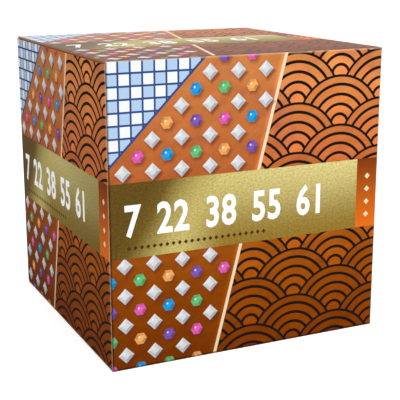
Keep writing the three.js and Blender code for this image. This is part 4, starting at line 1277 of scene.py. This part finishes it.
def build_crank():
    pin = lathe([
        (0, AXLE_START - 0.6), (AXLE - 0.6, AXLE_START - 0.5), (AXLE, AXLE_START + 0.3), (AXLE, AXLE_END),
        (4.6, AXLE_END), (5, AXLE_END + 0.4), *arc((3.2, AXLE_END + 1.2), 1.8, 0, 90), (0, AXLE_END + 3.0),
    ], 32)
    single("axle_pin_headed", "black_paint", "left_axle_pin", pin, pointing_x(HUB, -1))

    knob_low, knob_high = box_of("crank_knob")
    cap_low, cap_high = box_of("knob_cap")
    crank_z = (knob_low.z + knob_high.z) / 2
    crank_x = AXLE_END + AXLE
    path = bent([
        HUB + Vector((AXLE_START, 0, 0)), HUB + Vector((crank_x, 0, 0)),
        (crank_x, HUB.y, crank_z), (cap_high.x - 0.3, HUB.y, crank_z),
    ], CRANK_BEND)
    single("crank_wire", "black_paint", "crank_rod", tube(path, AXLE, 18))

    length = knob_high.x - knob_low.x
    outline = [(radius, share * length) for share, radius in KNOB_OUTLINE]
    knob = lathe([(AXLE_BORE, 0), *outline, (AXLE_BORE, length)])
    single("crank_grip", "black_plastic", "crank_knob", knob, pointing_x((knob_low.x, HUB.y, crank_z)), 50)
    cap = lathe([(AXLE_BORE, 0), (4.2, 0), (4.4, 0.3), (4.3, 1.0), (3.6, 1.6), (AXLE_BORE, 1.8)], 32)
    single("grip_cap", "bright_steel", "knob_cap", cap, pointing_x((cap_low.x, HUB.y, crank_z)), 50)


# The stand and the ball track

STAND_WIRE = 2
BOOT_ABOVE_ROD = 0.8
LEG_TOP_GAP = 0.2
LEG_FOOT_GAP = 2.1
LEG_BEADS = ((2.7, 0.6), (2.6, 1.6))
LEG_BEAD_FLATNESS = 0.7
TRACK_LENGTH = 132
TRACK_SLOPE = math.radians(2.5)
TRACK_HEIGHT = 9.5
TRACK_WIRE = 1
RAIL_SPACING = 6.8
GUARD_SPACING = 15
GUARD_HEIGHT = 7
HOOPS = 4
HOOP_INSET = 4
HOOP_HALF_WIDTH = GUARD_SPACING / 2 + 1.3
HOOP_LOW = -1.3
HOOP_HIGH = 8.5
HOOP_BEND = 3
TRACK_BEAD = 1.2
TRACK_BEAD_SINK = 0.6
END_WIRE_INSET = 2
POST_CORNER = 1
POST_EDGE = 0.2


def build_stand():
    rod_low, rod_high = box_of("base_right_rod")
    stand_x, rod_z = middle_of("base_right_rod").xz
    ends = [(end, middle_of(f"base_{end}_rod").y) for end in ("front", "rear")]
    bearing_low, bearing_high = box_of("bearing_right")
    length = bearing_high.x - bearing_low.x
    radius = (bearing_high.z - bearing_low.z) / 2
    bearing = lathe(mirrored(
        [(AXLE_BORE, 0.3), (AXLE_BORE + 0.3, 0), (radius - 0.5, 0), (radius, 0.5)], length), 36)
    floor = box_of("foot_front_left")[0].z
    height = rod_z + BOOT_ABOVE_ROD - floor
    foot = lathe([
        (0, 0), (4.9, 0), (5.3, 0.3), (5.5, 0.9), (5.3, height - 1.4), (5.0, height - 0.4),
        (4.4, height), (0, height),
    ], 36)
    for side, sign in (("left", -1), ("right", 1)):
        x = sign * stand_x
        side_rod = rod((x, rod_low.y, rod_z), (x, rod_high.y, rod_z), STAND_WIRE)
        single("stand_side_" + side, "black_paint", f"base_{side}_rod", side_rod, crease=50)
        place = pointing_x((x - length / 2, HUB.y, HUB.z))
        single("bearing_ring_" + side, "black_paint", "bearing_" + side, bearing, place)
        for end, y in ends:
            corner = Vector((x, y, rod_z))
            top = Vector((x, HUB.y, HUB.z))
            down = (corner - top).normalized()
            start, end_point = top + down * (radius + LEG_TOP_GAP), corner - down * LEG_FOOT_GAP
            leg = Shape().add(rod(start, end_point, STAND_WIRE))
            (top_bead, below_top), (foot_bead, above_foot) = LEG_BEADS
            leg.add(bead(top_bead, LEG_BEAD_FLATNESS), at(top + down * (radius + below_top)))
            leg.add(bead(foot_bead, LEG_BEAD_FLATNESS), at(corner - down * above_foot))
            leg.piece(f"leg_wire_{end}_{side}", "black_paint", f"leg_{end}_{side}", 50)
            single(f"foot_boot_{end}_{side}", "black_rubber", f"foot_{end}_{side}", foot, at((x, y, floor)))
    for end, y in ends:
        low, high = box_of(f"base_{end}_rod")
        cross_rod = rod((low.x, y, rod_z), (high.x, y, rod_z), STAND_WIRE)
        single("stand_cross_" + end, "black_paint", f"base_{end}_rod", cross_rod, crease=50)
    build_track(ends[0][1], rod_z)


def build_track(track_y, rod_z):
    """Two rails and two guard wires on a slope, carried by hoops, and the two posts under them."""
    half = TRACK_LENGTH / 2
    place = at((0, track_y, rod_z + TRACK_HEIGHT)) @ Matrix.Rotation(-TRACK_SLOPE, 4, "Y")
    track = Shape()

    def add_wire(start, end):
        track.add(rod(start, end, TRACK_WIRE, 10), place)

    for side in (-1, 1):
        for y, z in ((side * RAIL_SPACING / 2, 0), (side * GUARD_SPACING / 2, GUARD_HEIGHT)):
            add_wire((-half, y, z), (half, y, z))
        x = side * (half - END_WIRE_INSET)
        add_wire((x, -GUARD_SPACING / 2, GUARD_HEIGHT), (x, GUARD_SPACING / 2, GUARD_HEIGHT))
    for x in spread(HOOP_INSET - half, half - HOOP_INSET, HOOPS - 1):
        corners = [
            (x, side * HOOP_HALF_WIDTH, z)
            for side, z in ((-1, HOOP_HIGH), (-1, HOOP_LOW), (1, HOOP_LOW), (1, HOOP_HIGH))
        ]
        track.add(tube(bent(corners, HOOP_BEND), TRACK_WIRE, 10), place)
        for side in (-1, 1):
            hoop_side = side * (HOOP_HALF_WIDTH - TRACK_BEAD_SINK)
            track.add(bead(TRACK_BEAD), place @ at((x, side * RAIL_SPACING / 2, -TRACK_BEAD_SINK)))
            track.add(bead(TRACK_BEAD), place @ at((x, hoop_side, GUARD_HEIGHT)))
    track.piece("track_wires", "black_paint", "ball_track", 50)
    for side in ("left", "right"):
        low, high = box_of("track_post_" + side)
        deep = (high.y - low.y) / 2
        outline = [
            *arc((0, rod_z), STAND_WIRE + 0.1, 180, 0, 10), (deep, rod_z), (deep, high.z - POST_CORNER),
            (deep - POST_CORNER, high.z), (POST_CORNER - deep, high.z), (-deep, high.z - POST_CORNER),
            (-deep, rod_z),
        ]
        post = slab(outline, high.x - low.x, POST_EDGE)
        place = axes((0, 1, 0), (0, 0, 1), (1, 0, 0), (low.x, track_y, 0))
        single("track_plate_" + side, "black_paint", "track_post_" + side, post, place)


# The balls in the cage

BALL_COUNT = 75
BALL_RADIUS = 5.84
BALL_ROW_SPACING = 12.3
BALL_SEAT_SPACING = 11.7
BALL_LAYERS = 7
BALL_ROWS = range(-6, 7)
PILE_HALF_LENGTH = 54.5
PILE_RADIUS = 64.5
BALL_NUMBER = 3.7
BALL_NUMBER_NARROW = 0.86
BALL_NUMBER_WEIGHT = 0.02
BALL_RING = 3.7
BALL_RING_LINE = 0.4
BALL_INK = 0.03
BALL_INK_SINK = 0.04
WRAP_PITCH = 0.7
WRAP_CUTS = 4


def ball_middles():
    """Layers of balls, a little apart in their rows and seated on the layer below, filled
    from the cage's lowest point upwards."""
    row_step = BALL_ROW_SPACING * math.sqrt(3) / 2
    seat_reach = BALL_ROW_SPACING / math.sqrt(3)
    layer_step = math.sqrt(BALL_SEAT_SPACING ** 2 - seat_reach ** 2)
    spots = []
    for layer, row, column in itertools.product(range(BALL_LAYERS), BALL_ROWS, BALL_ROWS):
        shift = layer % 3
        x = (column + abs(row) % 2 / 2 + shift / 2) * BALL_ROW_SPACING
        y = (row + shift / 3) * row_step
        z = layer * layer_step - PILE_RADIUS
        if (x / PILE_HALF_LENGTH) ** 2 + (y * y + z * z) / PILE_RADIUS ** 2 <= 1:
            spots.append(Vector((x, y, z)))
    spots.sort(key=lambda p: (round(p.z * 10000), p.x ** 2 + p.y ** 2))
    kept = [spots.pop(0)]
    while len(kept) < BALL_COUNT:
        for spot in spots:
            if any((spot - other).length < BALL_SEAT_SPACING + 0.0001 for other in kept):
                break
        kept.append(spot)
        spots.remove(spot)
    return kept


def wrapped(body, radius):
    """A thin flat body laid round a ball: its own z becomes the height above the ball."""
    points, faces = body
    gather = bmesh.new()
    corners = [gather.verts.new(point) for point in points]
    for face in faces:
        gather.faces.new([corners[corner] for corner in face])
    for normal, step in itertools.product(((1, 0, 0), (0, 1, 0)), range(-WRAP_CUTS, WRAP_CUTS + 1)):
        geometry = gather.verts[:] + gather.edges[:] + gather.faces[:]
        middle = Vector(normal) * (step * WRAP_PITCH)
        bmesh.ops.bisect_plane(gather, geom=geometry, plane_co=middle, plane_no=normal)
    gather.verts.index_update()
    placed = []
    for vertex in gather.verts:
        x, y, z = vertex.co
        out = Vector((x, y, math.sqrt(radius ** 2 - x * x - y * y))) / radius
        placed.append(out * (radius + z))
    made = placed, [[vertex.index for vertex in face.verts] for face in gather.faces]
    gather.free()
    return made


def build_balls():
    """75 balls, each with its number in a ring on two sides, turned every way."""
    chance = random.Random(BALL_COUNT)
    sphere = lathe([(0.0, -BALL_RADIUS), *arc((0, 0), BALL_RADIUS, -82, 82, 13), (0.0, BALL_RADIUS)], 26)
    inner, outer = (math.asin(reach / BALL_RADIUS) for reach in (BALL_RING, BALL_RING + BALL_RING_LINE))
    low, high = BALL_RADIUS - BALL_INK_SINK, BALL_RADIUS + BALL_INK
    corners = ((low, inner), (high, inner), (high, outer), (low, outer))
    ring = lathe([(radius * math.sin(angle), radius * math.cos(angle)) for radius, angle in corners], 30)
    for number, middle in enumerate(ball_middles(), 1):
        flat = figure_body(str(number), BALL_NUMBER, BALL_INK * 2, BALL_NUMBER_NARROW, BALL_NUMBER_WEIGHT)
        figure = wrapped(flat, BALL_RADIUS - BALL_INK)
        turn = Euler([chance.uniform(0, TURN) for _ in range(3)]).to_matrix().to_4x4()
        place = at(HUB + middle) @ turn
        ball = Shape().add(sphere, place)
        for flip in (0.0, math.pi):
            flipped = place @ Matrix.Rotation(flip, 4, "X")
            ball.add(figure, flipped, 1).add(ring, flipped, 1)
        ball.piece(f"ball_{number:02d}", "ball_plastic black_ink", "ball_pile", 60)


# The cards, the calling board, the leaflet and the chips

CARDS = 18
CARD_CORNER = 6
CARD_STAGGER = 0.5
CARD_SIDE_ROOM = 0.2
CARD_SLIP = 0.15
CARD_GAP = 0.08
CARD_EDGE = 0.12
CARD_NUMBER = 12
CARD_NUMBER_NARROW = 0.9
FREE_MARK = (7, 7)
HEADING_MARK = (6, 9)
HEADING_ROW = 5.62
NUMBERS_A_COLUMN = 15
CARD_CELL = CARD_PITCH / MM
CARD_GRID_LOW = CARD_GRID_FLOOR / MM
PAPER_BAND_THICKNESS = 0.35
PAPER_BAND_CORNER = 0.9
BOARD_MARGIN = 4
BOARD_CORNER = 8
BOARD_EDGE = 0.5
BOARD_NUMBER = 3.6
PIT_COLUMNS = 15
PIT_ROWS = 5
PIT_ROW_PITCH = 24
PIT_RADIUS = 4.6
PIT_DEPTH = 2
PIT_RIM = 0.4
PIT_RISE = 0.3
NUMBER_DROP = 8.6
LEAF_GAP = 0.06
LEAF_STEP = 0.6
LEAF_FOLD = 0.8
CHIPS_EACH = 30
CHIP_SLIP = 0.15
CHIP_RIM = [(-1.8, 0.12), (-1.5, 0.02), (-0.35, 0.02), (0, 0.3)]
RACK_FLOOR = 2
RACK_CORNER = 1.6
RACK_EDGE = 0.3
SOCKET_DEPTH = 20
SOCKET_ROOM = 0.6
SOCKET_TAPER = 0.4


def diamond(half_width, half_height):
    return slab([(half_width, 0), (0, half_height), (-half_width, 0), (0, -half_height)], INK_PROUD, 0.01)


def build_cards():
    """The deck, whose front card shows its grid and numbers, and the paper band round it."""
    chance = random.Random(CARDS)
    low, high = box_of("card_deck")
    thickness = (high.y - low.y) / CARDS
    for index in range(CARDS):
        less = index % 2 * CARD_STAGGER
        outline = rectangle(high.x - less - CARD_SIDE_ROOM, 0, high.z - low.z - less, CARD_CORNER)
        place = facing_back((chance.uniform(-CARD_SLIP, CARD_SLIP), low.y + index * thickness, low.z))
        looks = [0] * (len(outline) * 3) + [int(index == 0), 0]
        card = Shape().add(slab(outline, thickness - CARD_GAP, CARD_EDGE), place, looks)
        card.piece(f"card_{index + 1:02d}", "card_face card_print", "card_deck")

    numbers = Shape()
    for column in range(5):
        x = (column - 2) * CARD_CELL
        first = column * NUMBERS_A_COLUMN + 1
        picked = sorted(chance.sample(range(first, first + NUMBERS_A_COLUMN), 5))
        bodies = [figure_body(str(number), CARD_NUMBER, INK_PROUD, CARD_NUMBER_NARROW) for number in picked]
        if column == 2:
            bodies[2] = diamond(*FREE_MARK)
        for row, body in enumerate(bodies):
            numbers.add(body, facing_front((x, low.y, CARD_GRID_LOW + (4.5 - row) * CARD_CELL)))
        numbers.add(diamond(*HEADING_MARK), facing_front((x, low.y, CARD_GRID_LOW + HEADING_ROW * CARD_CELL)))
    numbers.piece("card_numbers", "black_ink", slot="card_face", body="root")

    low, high = box_of("card_band")
    middle = middle_of("card_band")
    half = high - middle
    rings = []
    thickness = PAPER_BAND_THICKNESS
    for inset, z in ((0, low.z), (0, high.z), (thickness, high.z), (thickness, low.z)):
        deep = half.y - inset
        outline = rectangle(half.x - inset, -deep, deep, PAPER_BAND_CORNER - inset, 4)
        rings.append([(middle.x + x, middle.y + y, z) for x, y in outline])
    Shape().add(skin(rings, True)).piece("paper_band", "band_paper", "card_band", slot="paper_white")


def build_calling_board():
    """A moulded board with a pit and a number for each ball."""
    low, high = box_of("calling_board")
    blank = slab(rectangle(high.x, low.z, high.z, BOARD_CORNER), high.y - low.y, BOARD_EDGE)
    bowl = (PIT_RADIUS ** 2 + PIT_DEPTH ** 2) / (2 * PIT_DEPTH)
    reach = math.degrees(math.asin(PIT_RADIUS / bowl))
    pit = lathe([
        (0.0, PIT_DEPTH), *arc((0, PIT_DEPTH - bowl), bowl, 90 - reach / 4, 90 - reach, 4),
        (PIT_RADIUS + PIT_RIM, -PIT_RISE), (0.0, -PIT_RISE),
    ], 28)
    pits = Shape()
    numbers = Shape()
    pitch = (high.x - low.x - 2 * BOARD_MARGIN) / PIT_COLUMNS
    for index in range(PIT_COLUMNS * PIT_ROWS):
        x = (index % PIT_COLUMNS - (PIT_COLUMNS - 1) / 2) * pitch
        z = (low.z + high.z) / 2 + ((PIT_ROWS - 1) / 2 - index // PIT_COLUMNS) * PIT_ROW_PITCH
        pits.add(pit, facing_back((x, low.y, z)))
        number = figure_body(str(index + 1), BOARD_NUMBER, INK_PROUD)
        numbers.add(number, facing_front((x, low.y, z - NUMBER_DROP)))
    mesh = carve(Shape().add(blank, facing_back((0, low.y, 0))), pits)
    settle("board_moulded", mesh, "board_plastic", "calling_board")
    numbers.piece("board_numbers", "white_ink", slot="board_plastic", body="root")


def build_leaflet():
    """One sheet folded in half, its fold on the left and its free edges on the right."""
    low, high = box_of("rules_leaflet")
    half_thick = (high.y - low.y) / 2
    middle = (low.y + high.y) / 2
    outline = [
        *arc((low.x + half_thick, middle), half_thick, 270, 90, 8), (high.x, high.y),
        (high.x, middle + LEAF_GAP), (low.x + LEAF_FOLD, middle + LEAF_GAP),
        (low.x + LEAF_FOLD, middle - LEAF_GAP), (high.x - LEAF_STEP, middle - LEAF_GAP),
        (high.x - LEAF_STEP, low.y),
    ]
    leaflet = skin([[(x, y, z) for x, y in outline] for z in (low.z, high.z)])
    single("leaflet_folded", "paper_white", "rules_leaflet", leaflet)


def build_chips():
    """Five stacks of chips, a little out of line, and the rack that they stand in."""
    chance = random.Random(CHIPS_EACH)
    rack_low, rack_high = box_of("chip_rack")
    sockets = Shape()
    for name in CHIP_COLOURS:
        low, high = box_of("chips_" + name)
        middle = (low + high) / 2
        radius = (high.y - low.y) / 2
        thick = (high.z - low.z) / CHIPS_EACH
        chip = lathe(mirrored([(0, 0.12), *((radius + x, z) for x, z in CHIP_RIM)], thick), 30)
        stack = Shape()
        for index in range(CHIPS_EACH):
            x = middle.x + chance.uniform(-CHIP_SLIP, CHIP_SLIP)
            y = middle.y + chance.uniform(-CHIP_SLIP, CHIP_SLIP)
            turn = Matrix.Rotation(chance.uniform(0, TURN), 4, "Z")
            stack.add(chip, at((x, y, low.z + index * thick)) @ turn)
        stack.piece("chip_stack_" + name, "chip_" + name, "chips_" + name)
        wide = radius + SOCKET_ROOM
        socket = lathe([
            (0, 0), (wide - SOCKET_TAPER, 0), (wide, SOCKET_TAPER), (wide, SOCKET_DEPTH), (0, SOCKET_DEPTH),
        ])
        sockets.add(socket, at((middle.x, middle.y, rack_low.z + RACK_FLOOR)))
    centre = (rack_low + rack_high) / 2
    outline = rectangle(rack_high.x - centre.x, rack_low.y, rack_high.y, RACK_CORNER)
    blank = Shape().add(slab(outline, rack_high.z - rack_low.z, RACK_EDGE), at((centre.x, 0, rack_low.z)))
    settle("rack_moulded", carve(blank, sockets), "black_plastic", "chip_rack")


# Camera, lamps and floor

CAMERA_PLACE = (-0.3121, -0.6866, 0.2759)
CAMERA_AZIMUTH = math.radians(-25.13)
CAMERA_DIP = math.radians(14.2)
CAMERA_ROLL = math.radians(-0.12)
PHOTO_SIZE = 400
FOCAL_PIXELS = 980.2
SENSOR = 36.0
SCENE_MIDDLE = Vector((0, 0, 0.1))
LAMPS = (
    ("key", (0.55, -1.5, 1.25), 1.2, 21),
    ("fill", (-1.5, -0.8, 0.9), 1.2, 4.5),
    ("top", (0, 0.25, 1.6), 0.9, 6),
)
WORLD_LIGHT = 0.45
FLOOR_LIFT = 0.62
FLOOR_SIZE = 12.0


def place_aimed(name, data, place, ahead, roll=0.0):
    """A camera or lamp at a place, looking ahead."""
    turn = ahead.to_track_quat("-Z", "Y").to_matrix().to_4x4()
    made = bpy.data.objects.new(name, data)
    made.matrix_world = at(place) @ turn @ Matrix.Rotation(roll, 4, "Z")
    bpy.context.scene.collection.objects.link(made)
    return made


def add_camera():
    data = bpy.data.cameras.new("camera")
    data.sensor_width = SENSOR
    data.lens = SENSOR * FOCAL_PIXELS / PHOTO_SIZE
    ahead = Vector((-math.sin(CAMERA_AZIMUTH), math.cos(CAMERA_AZIMUTH), -math.tan(CAMERA_DIP)))
    bpy.context.scene.camera = place_aimed("camera", data, CAMERA_PLACE, ahead, CAMERA_ROLL)


def add_lamps():
    for name, place, size, power in LAMPS:
        data = bpy.data.lights.new(name, "AREA")
        data.size = size
        data.energy = power
        place_aimed(name, data, place, SCENE_MIDDLE - Vector(place))


def seen_directly(g):
    """1 for rays of the camera, of reflections and through glass, and 0 for light on the object."""
    rays = g.node("LightPath").outputs
    mirrored_or_clear = g.math("MAXIMUM", rays["Is Glossy Ray"], rays["Is Transmission Ray"])
    return g.math("MAXIMUM", rays["Is Camera Ray"], mirrored_or_clear)


def add_world():
    """Soft even light, and a white background."""
    world = bpy.data.worlds.new("studio")
    world.use_nodes = True
    bpy.context.scene.world = world
    g = Graph(world.node_tree)
    background = world.node_tree.nodes["Background"]
    g.wire(background.inputs["Color"], srgb(255, 255, 255))
    g.wire(background.inputs["Strength"], choose(seen_directly(g), WORLD_LIGHT, 1.0))


def add_floor():
    """A pale floor that looks white to the camera and in reflections, and keeps the shadow."""
    mesh = bpy.data.meshes.new("floor")
    corners = [(x * FLOOR_SIZE / 2, y * FLOOR_SIZE / 2, 0) for x, y in ((-1, -1), (1, -1), (1, 1), (-1, 1))]
    mesh.from_pydata(corners, [], [(0, 1, 2, 3)])
    floor = bpy.data.objects.new("floor", mesh)
    bpy.context.scene.collection.objects.link(floor)
    g = Material("floor", Base_Color=srgb(240, 240, 240), Roughness=0.9, Specular_IOR_Level=0.0)
    g.set(Emission_Color=srgb(255, 255, 255), Emission_Strength=seen_directly(g) * FLOOR_LIFT)
    mesh.materials.append(FINISHES["floor"])


for build in (
    add_camera, add_world, add_floor, add_lamps, build_walls, build_flaps, build_flat_boards,
    build_band_numbers, build_cage, build_door, build_crank, build_stand, build_balls, build_cards,
    build_calling_board, build_leaflet, build_chips,
):
    build()
bpy.context.scene.view_settings.view_transform = "Standard"
